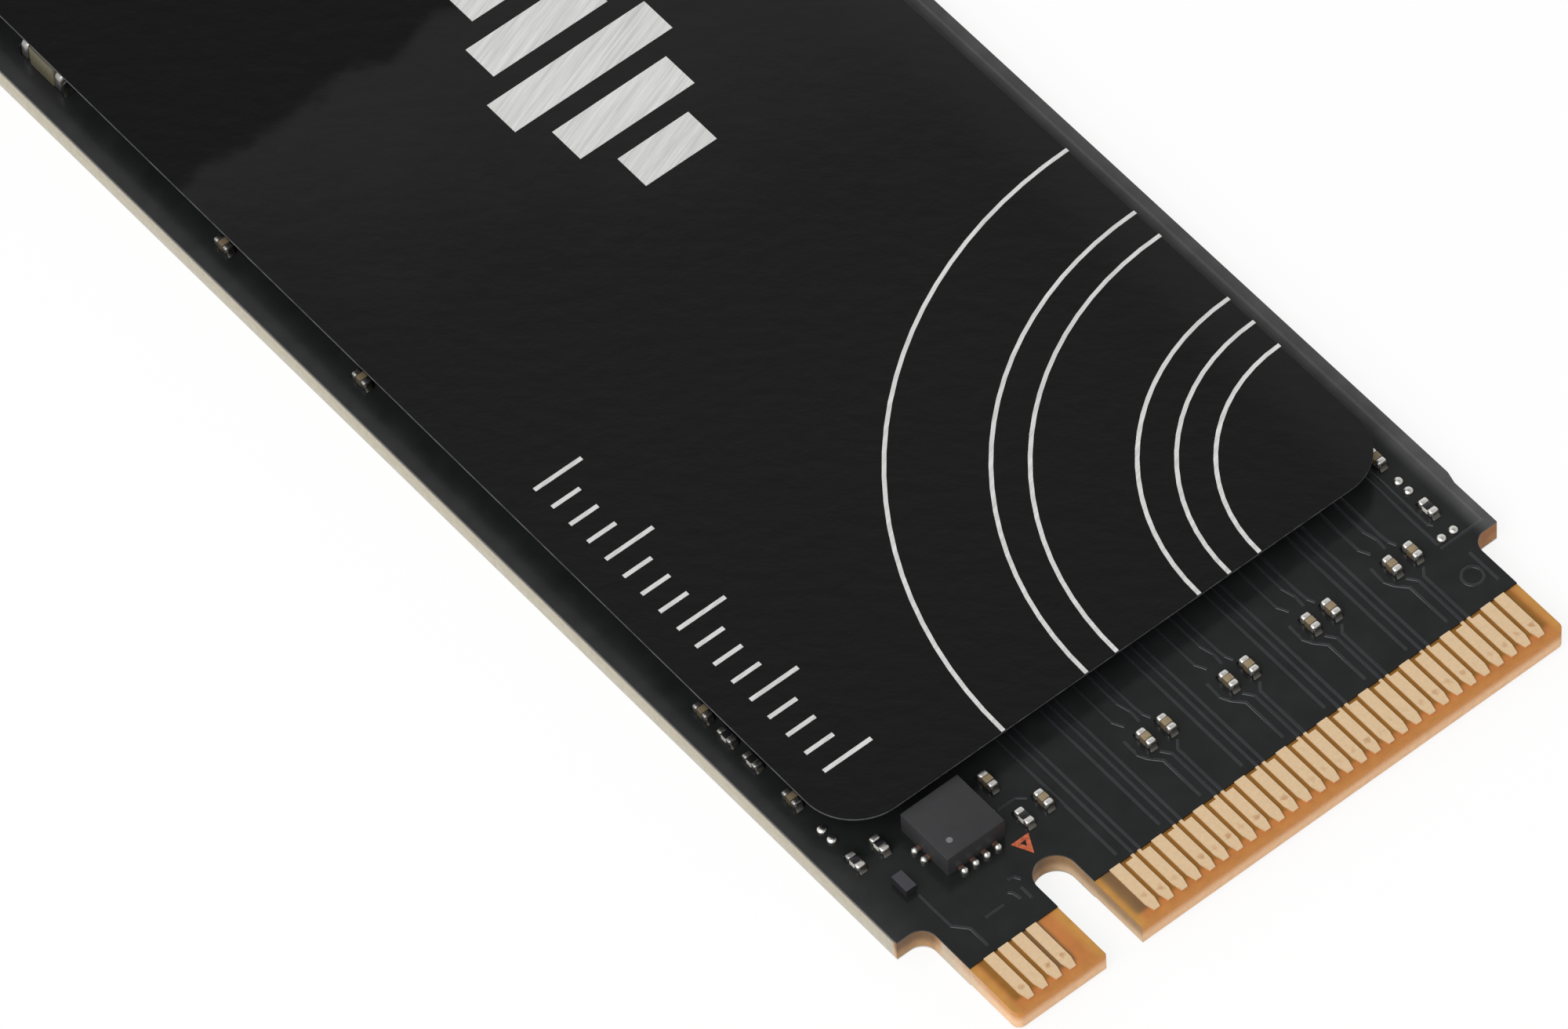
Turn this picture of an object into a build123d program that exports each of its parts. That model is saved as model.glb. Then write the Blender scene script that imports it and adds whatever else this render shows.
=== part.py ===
from build123d import *
import math
import os

# Solid state drive on a 22 x 80 mm plug-in board. X runs across the board, Y along it,
# with the edge connector at -Y and the screw notch at +Y. Z = 0 is the underside. Millimetres.

# Board
BOARD_WIDTH = 22.0
BOARD_LENGTH = 80.0
BOARD_THICKNESS = 0.80
LAYER_THICKNESS = 0.05          # copper and solder mask on each face of the laminate
EDGE_STEP = 0.10                # the router cut the connector end this much narrower on each side
LEFT_STEP_RUN = 41.0            # the left edge runs out to full width over this length, from the shoulder
RIGHT_STEP_FROM_END = 5.8       # the right edge keeps straight up to here
RIGHT_STEP_RUN = 0.4            # and then runs out to full width

# Connector tongue and key slot
SHOULDER_WIDTH = 1.075          # board past the tongue on each side
TONGUE_LENGTH = 4.0
TONGUE_CORNER_RADIUS = 0.25
SHOULDER_RADIUS = 0.5
KEY_SLOT_WIDTH = 1.30
KEY_SLOT_DEPTH = 3.55
MASK_SETBACK = 2.04             # bare laminate from the connector end to the edge of the mask

# Edge contacts
PIN_PITCH = 0.5
PIN_MARGIN = 0.675              # least distance from the tongue's side to the first pin's centre
KEY_SIDE_COUNT = 4              # contacts between the -X side and the key slot
TOP_GAP_COUNT = 5               # places left out at the key slot
BOTTOM_GAP_COUNT = 4
KEY_PIN_PLACE = 6.25            # the slot's centre, in pin places from the first pin at -X
CONTACT_WIDTH = 0.36
CONTACT_SETBACK = 0.22          # bare laminate in front of the contact tips
CONTACT_TIP_WIDTH = 0.20
CONTACT_TAPER = 0.32
END_GROUND_COUNT = 2            # ground contacts at the +X end, before the first signal pair
PAIR_PERIOD = 3                 # two signal contacts, then one ground
PAIR_SETBACK = 0.11             # signal contacts stop this far from the mask
NECK_WIDTH = 0.10               # and run on to it as a trace, on the side of their twin

# Screw notch and its plated pads at the far end
SCREW_NOTCH_RADIUS = 1.75
SCREW_PAD_RADIUS = 2.75
SCREW_MASK_GAP = 0.15

# Label film over the packages
LABEL_LEFT_MARGIN = 0.845       # the label was stuck on a little to the left
LABEL_RIGHT_MARGIN = 1.105
LABEL_FRONT_MARGIN = 7.0
LABEL_REAR_MARGIN = 5.5
LABEL_THICKNESS = 0.08
LABEL_CORNER_RADIUS = 1.75

# Silver print on the label
PRINT_THICKNESS = 0.02
STRIPE_WIDTH = 0.13
STRIPE_RADII = (5.2, 6.3, 7.4, 10.4, 11.5, 14.5)
BAR_LENGTHS = (2.6, 4.2, 5.8, 4.2, 2.6)
BAR_WIDTH = 1.3
BAR_PITCH = 2.0
BAR_CENTRE_FROM_FRONT = 26.0
BAR_CENTRE_FROM_RIGHT = 8.6
TICK_WIDTH = 0.14
TICK_LENGTH = 1.0
LONG_TICK_LENGTH = 1.7
LONG_TICK_EVERY = 4
TICK_PITCH = 0.8
TICK_COUNT = 17
TICK_FROM_LEFT = 1.0
TICK_FROM_FRONT = 2.2

# Large packages under the label, in a row from the connector end
PACKAGE_HEIGHT = 0.88
PACKAGE_EDGE = 0.12
CONTROLLER_SIZE = 14.0
BUFFER_WIDTH = 13.0
BUFFER_LENGTH = 7.5
FLASH_WIDTH = 18.0
FLASH_LENGTH = 12.0

# Power row between the buffer memory and the flash packages
POWER_ROW_LENGTH = 10.5
POWER_CHIP_SIZE = 4.0
POWER_CHIP_HEIGHT = 0.75
INDUCTOR_LENGTH = 2.5
INDUCTOR_WIDTH = 2.0
INDUCTOR_HEIGHT = 0.80
INDUCTOR_EDGE = 0.15
INDUCTOR_COUNT = 3
INDUCTOR_GAP = 0.8
CRYSTAL_LENGTH = 2.0
CRYSTAL_WIDTH = 1.6
CRYSTAL_HEIGHT = 0.5
CRYSTAL_LID_MARGIN = 0.15
CRYSTAL_LID_HEIGHT = 0.12
CRYSTAL_GAP = 0.5               # from the controller's right side

# Load switch chip beside the key slot
SWITCH_SIZE = 2.05
SWITCH_HEIGHT = 0.78
SWITCH_SLOT_OFFSET = -1.255      # chip's centre from the key slot's centre line
SWITCH_FROM_END = 5.8
LEAD_PITCH = 0.40
LEAD_WIDTH = 0.26
LEAD_REACH = 0.30
LEAD_HEIGHT = 0.26
FRONT_LEAD_COUNT = 4
SIDE_LEAD_COUNT = 2

# Small two-terminal parts
SMALL_LENGTH = 0.60
SMALL_WIDTH = 0.30
CAPACITOR_HEIGHT = 0.30
RESISTOR_HEIGHT = 0.23
TERMINAL_LENGTH = 0.19
TERMINAL_LIP = 0.012            # terminals stand this proud of the body
FILLET_REACH = 0.11
FILLET_SHARE = 0.75             # how far solder climbs the terminal
BULK_LENGTH = 2.0
BULK_WIDTH = 1.25
BULK_HEIGHT = 0.80
BULK_TERMINAL = 0.40
DIODE_LENGTH = 0.66
DIODE_WIDTH = 0.36
DIODE_HEIGHT = 0.28
DOME_RADIUS = 0.145             # solder left on pads that carry no part
DOME_HEIGHT = 0.13
DOME_SPACING = 0.44

# Places of the small parts: distances from the connector end
LANE_PIN_PLACE = 2.5            # the last lane's centre, in pin places from the first pin at +X
LANE_PIN_STEP = 6               # pin places from lane to lane
LANE_SLOT_CLEARANCE = 4.0       # from the key slot's centre line to the first lane
LANE_PAIR_SPACING = 0.75
LANE_FROM_END = 4.69
LEFT_COLUMN_INSET = 0.94
LEFT_CAPACITORS = (9.54, 13.45, 28.8, 35.2)
LEFT_RESISTORS = (6.78, 11.27, 12.38)
INNER_RESISTOR_INSET = 1.80
RIGHT_COLUMN_INSET = 1.28
RIGHT_CAPACITORS = (7.8,)
RIGHT_RESISTORS = (5.57,)
LEFT_BARE_PADS = 8.03
RIGHT_BARE_PADS = 6.63
CROSS_PADS_INSET = 1.45         # pads side by side across the board
CROSS_PADS_FROM_END = 4.56
SWITCH_CAPACITORS = ((1.78, 6.45), (2.55, 4.97))    # right of the chip's centre, from the end
SWITCH_RESISTORS = ((1.78, 4.88),)
DIODE_INSET = 1.46
DIODE_FROM_END = 5.31

# Signal traces, seen as ridges in the mask
TRACE_WIDTH = 0.10
TRACE_HEIGHT = 0.02
TRACE_MASK_GAP = 0.25
TRACE_UNDER_LABEL = 0.6
STRAIGHT_TRACES = (-1.90, -1.60, -1.35)             # beside each lane's centre
SLOT_TRACES = (1.675, 2.045, 2.295)                 # beside the key slot's centre line
LANE_TRACES_BELOW = (                               # offset from lane centre, from the parts' line
    ((-0.83, 0.40), (-0.85, -0.20), (-0.72, -0.48), (-0.42, -0.82)),
    ((-0.30, -0.50), (-0.09, -0.79)),
    ((0.33, -0.50), (0.13, -0.76)),
)
LANE_TRACES_ABOVE = (
    ((-0.50, 0.76), (-0.67, 1.10)),
    ((-0.07, 0.62), (-0.04, 1.05), (-0.15, 1.50)),
    ((0.26, 0.52), (0.16, 0.76), (0.13, 1.10)),
)
RIGHT_TRACES = (((1.87, 4.45),), ((1.52, 5.07), (1.62, 5.20)))      # from the right edge and the end
LEFT_TRACES = (((1.60, 4.85), (1.60, 3.45), (1.95, 3.05)),)         # from the left edge and the end
SWITCH_TRACES = (((1.40, -0.20), (2.05, -0.20), (2.30, -0.42)),)    # from the chip's centre
SHORT_SLOT_TRACES = (                               # from the key slot's centre line and the end
    ((-1.395, 3.30), (-1.295, 3.18), (-1.235, 2.90)),
    ((-1.125, 3.62), (-0.925, 3.58), (-0.825, 3.40)),
    ((-0.995, 3.20), (-0.995, 2.72)),
    ((-2.375, 3.05), (-1.725, 3.05)),
)
SHORT_RIGHT_TRACES = (((1.38, 3.70), (1.38, 2.45)),)                # from the right edge and the end
POUR_INSET = 0.36               # a ridge marks the copper's limit along the right edge
POUR_REACH = 1.90               # and turns in across the board, to here from the edge
POUR_FROM_END = 4.32
POUR_FROM_FAR_END = 1.0
TEST_RING_RADIUS = 0.37
TEST_RING_INSET = 1.85
TEST_RING_FROM_END = 3.03

# Orange key mark beside the slot
KEY_MARK_SIZE = 0.62
KEY_MARK_LINE = 0.13
KEY_MARK_THICKNESS = 0.02
KEY_MARK_GAP = 0.28             # from the slot's round end

END_Y = -BOARD_LENGTH / 2
FAR_Y = BOARD_LENGTH / 2
HALF_WIDTH = BOARD_WIDTH / 2
TOP_Z = BOARD_THICKNESS
CORE_TOP_Z = BOARD_THICKNESS - LAYER_THICKNESS
LABEL_Z = TOP_Z + PACKAGE_HEIGHT
LABEL_LENGTH = BOARD_LENGTH - LABEL_FRONT_MARGIN - LABEL_REAR_MARGIN
LABEL_FRONT_Y = END_Y + LABEL_FRONT_MARGIN
LABEL_LEFT_X = -HALF_WIDTH + LABEL_LEFT_MARGIN
LABEL_RIGHT_X = HALF_WIDTH - LABEL_RIGHT_MARGIN
PRINT_Z = LABEL_Z + LABEL_THICKNESS
TONGUE_WIDTH = BOARD_WIDTH - 2 * SHOULDER_WIDTH
TOP_PIN_COUNT = math.floor((TONGUE_WIDTH - 2 * PIN_MARGIN) / PIN_PITCH + 1e-9) + 1
PIN_END_X = PIN_PITCH * (TOP_PIN_COUNT - 1) / 2
KEY_SLOT_X = -PIN_END_X + PIN_PITCH * KEY_PIN_PLACE
SWITCH_X = KEY_SLOT_X + SWITCH_SLOT_OFFSET
ON_BASE = (Align.CENTER, Align.CENTER, Align.MIN)


def slab(x, y, z, width, length, height):
    """A block centred at x, y with its base at z."""
    return Pos(x, y, z) * Box(width, length, height, align=ON_BASE)


def ribbon(points, width):
    """A flat line of even width through the points, with mitred corners."""
    spine = [Vector(*point) for point in points]
    left = []
    right = []
    for index, point in enumerate(spine):
        before = (point - spine[index - 1]).normalized() if index else None
        after = (spine[index + 1] - point).normalized() if index + 1 < len(spine) else None
        along = ((before or after) + (after or before)).normalized()
        reach = width / 2 / along.dot(before or after)
        side = Vector(-along.Y, along.X) * reach
        left.append(point + side)
        right.append(point - side)
    return make_face(Polyline(*left, *reversed(right), close=True))


def board_outline():
    """The board seen from above: body, tongue, key slot, edge steps and screw notch."""
    body_length = BOARD_LENGTH - TONGUE_LENGTH
    shoulder_y = END_Y + TONGUE_LENGTH
    outline = Pos(0, shoulder_y + body_length / 2) * Rectangle(BOARD_WIDTH, body_length)
    steps = ((-HALF_WIDTH, EDGE_STEP, TONGUE_LENGTH, LEFT_STEP_RUN),
             (HALF_WIDTH, -EDGE_STEP, RIGHT_STEP_FROM_END, RIGHT_STEP_RUN))
    for edge_x, depth, straight, run in steps:
        inner = [(edge_x + depth, END_Y), (edge_x + depth, END_Y + straight)]
        outline -= make_face(Polyline((edge_x, END_Y), *inner, (edge_x, END_Y + straight + run), close=True))
    tongue = Pos(0, END_Y + TONGUE_LENGTH / 2) * Rectangle(TONGUE_WIDTH, TONGUE_LENGTH)
    outline += tongue
    slot_straight = KEY_SLOT_DEPTH - KEY_SLOT_WIDTH / 2
    outline -= Pos(KEY_SLOT_X, END_Y + slot_straight / 2) * Rectangle(KEY_SLOT_WIDTH, slot_straight)
    outline -= Pos(KEY_SLOT_X, END_Y + slot_straight) * Circle(KEY_SLOT_WIDTH / 2)
    outline -= Pos(0, FAR_Y) * Circle(SCREW_NOTCH_RADIUS)
    corners = outline.vertices().filter_by(lambda v: is_at(v, TONGUE_WIDTH / 2, shoulder_y))
    outline = fillet(corners, SHOULDER_RADIUS)
    tips = outline.vertices().filter_by(lambda v: is_at(v, TONGUE_WIDTH / 2, END_Y))
    return fillet(tips, TONGUE_CORNER_RADIUS)


def is_at(vertex, x, y):
    """Whether a corner lies at x on either side of the centre line, and at y."""
    return math.isclose(abs(vertex.X), x, abs_tol=1e-6) and math.isclose(vertex.Y, y, abs_tol=1e-6)


def circuit_board():
    return Pos(0, 0, LAYER_THICKNESS) * extrude(board_outline(), CORE_TOP_Z - LAYER_THICKNESS)


def solder_mask(z):
    """Mask over one face, open at the connector contacts and round the screw pad."""
    bare = Pos(0, END_Y) * Rectangle(2 * BOARD_WIDTH, 2 * MASK_SETBACK)
    outline = board_outline() - bare
    outline -= Pos(0, FAR_Y) * Circle(SCREW_PAD_RADIUS + SCREW_MASK_GAP)
    return Pos(0, 0, z) * extrude(outline, LAYER_THICKNESS)


def contact_outline(neck_side):
    """One finger with a tapered tip: square at the back, or with a neck on one side of it."""
    tip_y = END_Y + CONTACT_SETBACK
    back_y = END_Y + MASK_SETBACK
    half = CONTACT_WIDTH / 2
    tip_half = CONTACT_TIP_WIDTH / 2
    pad_y = back_y - PAIR_SETBACK if neck_side else back_y
    right_side = [(tip_half, tip_y), (half, tip_y + CONTACT_TAPER), (half, pad_y)]
    left_side = [(-x, y) for x, y in reversed(right_side)]
    outline = make_face(Polyline(*right_side, *left_side, close=True))
    if neck_side:
        neck_x = neck_side * (CONTACT_WIDTH - NECK_WIDTH) / 2
        outline += Pos(neck_x, pad_y + PAIR_SETBACK / 2) * Rectangle(NECK_WIDTH, PAIR_SETBACK)
    return outline


def neck_side(place):
    """Which side of a top contact its neck is on, or 0 for a ground or control contact."""
    past_ground = TOP_PIN_COUNT - 1 - place - END_GROUND_COUNT
    if place < KEY_SIDE_COUNT or past_ground < 0:
        return 0
    return (-1, 1, 0)[past_ground % PAIR_PERIOD]


def contact_places(pin_count, gap_count):
    """Pin places that hold a contact, counted from the -X side."""
    gap = range(KEY_SIDE_COUNT, KEY_SIDE_COUNT + gap_count)
    return [place for place in range(pin_count) if place not in gap]


def edge_contacts_top():
    """Gold fingers on the top, signal pairs between grounds, with a gap at the key slot."""
    outlines = {side: contact_outline(side) for side in (-1, 0, 1)}
    contacts = []
    for place in contact_places(TOP_PIN_COUNT, TOP_GAP_COUNT):
        finger = extrude(outlines[neck_side(place)], LAYER_THICKNESS)
        contacts.append(Pos(PIN_PITCH * place - PIN_END_X, 0, CORE_TOP_Z) * finger)
    return contacts


def edge_contacts_bottom():
    """Gold fingers under the board, half a pin place across from those on the top."""
    finger = extrude(contact_outline(0), LAYER_THICKNESS)
    first_x = PIN_PITCH / 2 - PIN_END_X
    places = contact_places(TOP_PIN_COUNT - 1, BOTTOM_GAP_COUNT)
    return [Pos(first_x + PIN_PITCH * place, 0, 0) * finger for place in places]


def screw_pads():
    """Plated half rings round the screw notch, one on each face."""
    ring = Circle(SCREW_PAD_RADIUS) - Circle(SCREW_NOTCH_RADIUS)
    half = ring & Pos(0, -SCREW_PAD_RADIUS) * Rectangle(2 * SCREW_PAD_RADIUS, 2 * SCREW_PAD_RADIUS)
    pad = extrude(half, LAYER_THICKNESS)
    return [Pos(0, FAR_Y, z) * pad for z in (0, CORE_TOP_Z)]


def package(x, y, width, length, height):
    """A moulded package with bevelled top edges."""
    body = slab(x, y, TOP_Z, width, length, height)
    top_edges = body.faces().sort_by(Axis.Z)[-1].edges()
    return chamfer(top_edges, PACKAGE_EDGE)


def chip(x, y, size, height):
    """A square leadless chip, sawn off square on all sides."""
    return slab(x, y, TOP_Z, size, size, height)


def package_rows():
    """Centre Y of each row under the label, with even gaps between the rows."""
    lengths = (CONTROLLER_SIZE, BUFFER_LENGTH, POWER_ROW_LENGTH, FLASH_LENGTH, FLASH_LENGTH)
    gap = (LABEL_LENGTH - sum(lengths)) / (len(lengths) + 1)
    centres = []
    y = LABEL_FRONT_Y
    for length in lengths:
        centres.append(y + gap + length / 2)
        y += gap + length
    return centres


def power_inductors(y):
    """Moulded inductors in a row to the right of the power chip."""
    start = POWER_CHIP_SIZE / 2 + INDUCTOR_GAP + INDUCTOR_WIDTH / 2
    row = []
    for index in range(INDUCTOR_COUNT):
        x = start + index * (INDUCTOR_WIDTH + INDUCTOR_GAP) - HALF_WIDTH / 2
        block = slab(x, y, TOP_Z, INDUCTOR_WIDTH, INDUCTOR_LENGTH, INDUCTOR_HEIGHT)
        row.append(chamfer(block.edges().filter_by(Axis.Z), INDUCTOR_EDGE))
    return row


def clock_crystal(x, y):
    """Ceramic base with a smaller metal lid."""
    base_height = CRYSTAL_HEIGHT - CRYSTAL_LID_HEIGHT
    base = slab(x, y, TOP_Z, CRYSTAL_WIDTH, CRYSTAL_LENGTH, base_height)
    lid_length = CRYSTAL_LENGTH - 2 * CRYSTAL_LID_MARGIN
    lid_width = CRYSTAL_WIDTH - 2 * CRYSTAL_LID_MARGIN
    return base + slab(x, y, TOP_Z + base_height, lid_width, lid_length, CRYSTAL_LID_HEIGHT)


def wedge(width, reach, height):
    """Solder that slopes from a wall at Y = 0 down to the board at Y = reach."""
    profile = make_face(Polyline((0, 0, 0), (0, reach, 0), (0, 0, height), close=True))
    return Pos(-width / 2, 0, 0) * extrude(profile, width, dir=(1, 0, 0))


def switch_leads(x, y):
    """Solder at the leads along the four sides of the load switch chip."""
    lead = wedge(LEAD_WIDTH, LEAD_REACH, LEAD_HEIGHT)
    leads = []
    for turn in (0, 90, 180, 270):
        count = SIDE_LEAD_COUNT if turn in (90, 270) else FRONT_LEAD_COUNT
        for index in range(count):
            shift = (index - (count - 1) / 2) * LEAD_PITCH
            leads.append(Pos(x, y, TOP_Z) * Rot(0, 0, turn) * Pos(shift, SWITCH_SIZE / 2, 0) * lead)
    return leads


def two_terminal(length, width, height, terminal):
    """A chip part along Y on the board: body, its two terminals and their solder."""
    body_width = width - 2 * TERMINAL_LIP
    body_length = length - 2 * terminal
    body = Box(body_width, body_length, height - TERMINAL_LIP, align=ON_BASE)
    terminals = []
    fillets = []
    for turn in (0, 180):
        end = Pos(0, (length - terminal) / 2, 0) * Box(width, terminal, height, align=ON_BASE)
        solder = Pos(0, length / 2, 0) * wedge(width, FILLET_REACH, FILLET_SHARE * height)
        terminals.append(Rot(0, 0, turn) * end)
        fillets.append(Rot(0, 0, turn) * solder)
    return [body], terminals, fillets


def placed(part_solids, places):
    """Copies of a part's bodies, terminals and solder at each x, y, turn."""
    groups = ([], [], [])
    for x, y, turn in places:
        spot = Pos(x, y, TOP_Z) * Rot(0, 0, turn)
        for group, solids in zip(groups, part_solids):
            group.extend(spot * solid for solid in solids)
    return groups


def lane_centres():
    """Centre lines of the data lanes, from the +X side to the key slot."""
    last = PIN_END_X - PIN_PITCH * LANE_PIN_PLACE
    pitch = PIN_PITCH * LANE_PIN_STEP
    count = math.floor((last - KEY_SLOT_X - LANE_SLOT_CLEARANCE) / pitch) + 1
    return [last - pitch * index for index in range(count)]


def lane_places():
    """Pairs of capacitors on the four data lanes."""
    half = LANE_PAIR_SPACING / 2
    y = END_Y + LANE_FROM_END
    return [(centre + side * half, y, 0) for centre in lane_centres() for side in (-1, 1)]


def capacitor_places():
    """Small capacitors along both long edges and beside the load switch chip."""
    left_x = -HALF_WIDTH + LEFT_COLUMN_INSET
    right_x = HALF_WIDTH - RIGHT_COLUMN_INSET
    places = [(left_x, END_Y + distance, 0) for distance in LEFT_CAPACITORS]
    places += [(right_x, END_Y + distance, 0) for distance in RIGHT_CAPACITORS]
    places += [(SWITCH_X + offset, END_Y + distance, 0) for offset, distance in SWITCH_CAPACITORS]
    return places


def resistor_places():
    """Small resistors along both long edges and beside the load switch chip."""
    left_x = -HALF_WIDTH + LEFT_COLUMN_INSET
    right_x = HALF_WIDTH - RIGHT_COLUMN_INSET
    places = [(left_x, END_Y + distance, 0) for distance in LEFT_RESISTORS]
    places.append((-HALF_WIDTH + INNER_RESISTOR_INSET, END_Y + LEFT_RESISTORS[0], 0))
    places += [(right_x, END_Y + distance, 0) for distance in RIGHT_RESISTORS]
    places += [(SWITCH_X + offset, END_Y + distance, 0) for offset, distance in SWITCH_RESISTORS]
    return places


def pad_solder():
    """Domes of solder on the three pairs of pads that carry no part."""
    ball_radius = (DOME_RADIUS**2 + DOME_HEIGHT**2) / (2 * DOME_HEIGHT)
    dome = split(Pos(0, 0, DOME_HEIGHT - ball_radius) * Sphere(ball_radius), Plane.XY)
    half = DOME_SPACING / 2
    pairs = [
        (-HALF_WIDTH + LEFT_COLUMN_INSET, LEFT_BARE_PADS, (0, half)),
        (HALF_WIDTH - RIGHT_COLUMN_INSET, RIGHT_BARE_PADS, (0, half)),
        (HALF_WIDTH - CROSS_PADS_INSET, CROSS_PADS_FROM_END, (half, 0)),
    ]
    domes = []
    for x, distance, (dx, dy) in pairs:
        for side in (-1, 1):
            domes.append(Pos(x + side * dx, END_Y + distance + side * dy, TOP_Z) * dome)
    return domes


def protection_diode(x, y):
    """A leadless moulded block."""
    return slab(x, y, TOP_Z, DIODE_WIDTH, DIODE_LENGTH, DIODE_HEIGHT)


def signal_traces():
    """Ridges over the copper traces between the contacts, the parts and the label."""
    low_y = END_Y + MASK_SETBACK + TRACE_MASK_GAP
    high_y = LABEL_FRONT_Y + TRACE_UNDER_LABEL
    parts_y = END_Y + LANE_FROM_END
    straight_x = [KEY_SLOT_X + dx for dx in SLOT_TRACES]
    straight_x += [centre + dx for centre in lane_centres() for dx in STRAIGHT_TRACES]
    lines = [[(x, low_y), (x, high_y)] for x in straight_x]
    for paths, end_y in ((LANE_TRACES_BELOW, low_y), (LANE_TRACES_ABOVE, high_y)):
        for centre in lane_centres():
            for path in paths:
                line = [(centre + dx, parts_y + dy) for dx, dy in path]
                lines.append(line + [(line[-1][0], end_y)])
    for path in RIGHT_TRACES:
        line = [(HALF_WIDTH - inset, END_Y + distance) for inset, distance in path]
        lines.append(line + [(line[-1][0], high_y)])
    for path in LEFT_TRACES:
        line = [(-HALF_WIDTH + inset, END_Y + distance) for inset, distance in path]
        lines.append(line + [(line[-1][0], low_y)])
    for path in SWITCH_TRACES:
        lines.append([(SWITCH_X + dx, END_Y + SWITCH_FROM_END + dy) for dx, dy in path])
    for path in SHORT_SLOT_TRACES:
        lines.append([(KEY_SLOT_X + dx, END_Y + distance) for dx, distance in path])
    for path in SHORT_RIGHT_TRACES:
        lines.append([(HALF_WIDTH - inset, END_Y + distance) for inset, distance in path])
    pour_x = HALF_WIDTH - POUR_INSET
    pour_y = END_Y + POUR_FROM_END
    lines.append([(HALF_WIDTH - POUR_REACH, pour_y), (pour_x, pour_y), (pour_x, FAR_Y - POUR_FROM_FAR_END)])
    faces = [ribbon(line, TRACE_WIDTH) for line in lines]
    ring = Circle(TEST_RING_RADIUS) - Circle(TEST_RING_RADIUS - TRACE_WIDTH)
    faces.append(Pos(HALF_WIDTH - TEST_RING_INSET, END_Y + TEST_RING_FROM_END) * ring)
    return [Pos(0, 0, TOP_Z) * extrude(face, TRACE_HEIGHT) for face in faces]


def key_mark():
    """A small open triangle that points at the key slot."""
    height = KEY_MARK_SIZE
    half = KEY_MARK_SIZE / 2
    outer = Polygon((-half, height), (0, 0), (half, height), align=None)
    mark = outer - offset(outer, -KEY_MARK_LINE)
    y = END_Y + KEY_SLOT_DEPTH + KEY_MARK_GAP
    return Pos(KEY_SLOT_X, y, TOP_Z) * extrude(mark, KEY_MARK_THICKNESS)


def label_outline():
    outline = RectangleRounded(LABEL_RIGHT_X - LABEL_LEFT_X, LABEL_LENGTH, LABEL_CORNER_RADIUS)
    centre_x = (LABEL_LEFT_X + LABEL_RIGHT_X) / 2
    return Pos(centre_x, LABEL_FRONT_Y + LABEL_LENGTH / 2) * outline


def label():
    return Pos(0, 0, LABEL_Z) * extrude(label_outline(), LABEL_THICKNESS)


def label_stripes():
    """Pinstripe arcs round two opposite corners of the label, cut off at its edges."""
    corners = ((LABEL_RIGHT_X, LABEL_FRONT_Y), (LABEL_LEFT_X, LABEL_FRONT_Y + LABEL_LENGTH))
    stripes = []
    for x, y in corners:
        for radius in STRIPE_RADII:
            ring = Circle(radius) - Circle(radius - STRIPE_WIDTH)
            stripe = label_outline() & (Pos(x, y) * ring)
            stripes.append(Pos(0, 0, PRINT_Z) * extrude(stripe, PRINT_THICKNESS))
    return stripes


def label_bars():
    """A stack of foil bars of graded length, and a scale of fine ticks by the left edge."""
    x = LABEL_RIGHT_X - BAR_CENTRE_FROM_RIGHT
    first_y = LABEL_FRONT_Y + BAR_CENTRE_FROM_FRONT - BAR_PITCH * (len(BAR_LENGTHS) - 1) / 2
    faces = []
    for index, length in enumerate(BAR_LENGTHS):
        faces.append(Pos(x, first_y + index * BAR_PITCH) * Rectangle(length, BAR_WIDTH))
    for index in range(TICK_COUNT):
        length = TICK_LENGTH if index % LONG_TICK_EVERY else LONG_TICK_LENGTH
        tick_x = LABEL_LEFT_X + TICK_FROM_LEFT + length / 2
        tick_y = LABEL_FRONT_Y + TICK_FROM_FRONT + index * TICK_PITCH
        faces.append(Pos(tick_x, tick_y) * Rectangle(length, TICK_WIDTH))
    return [Pos(0, 0, PRINT_Z) * extrude(face, PRINT_THICKNESS) for face in faces]


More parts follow.
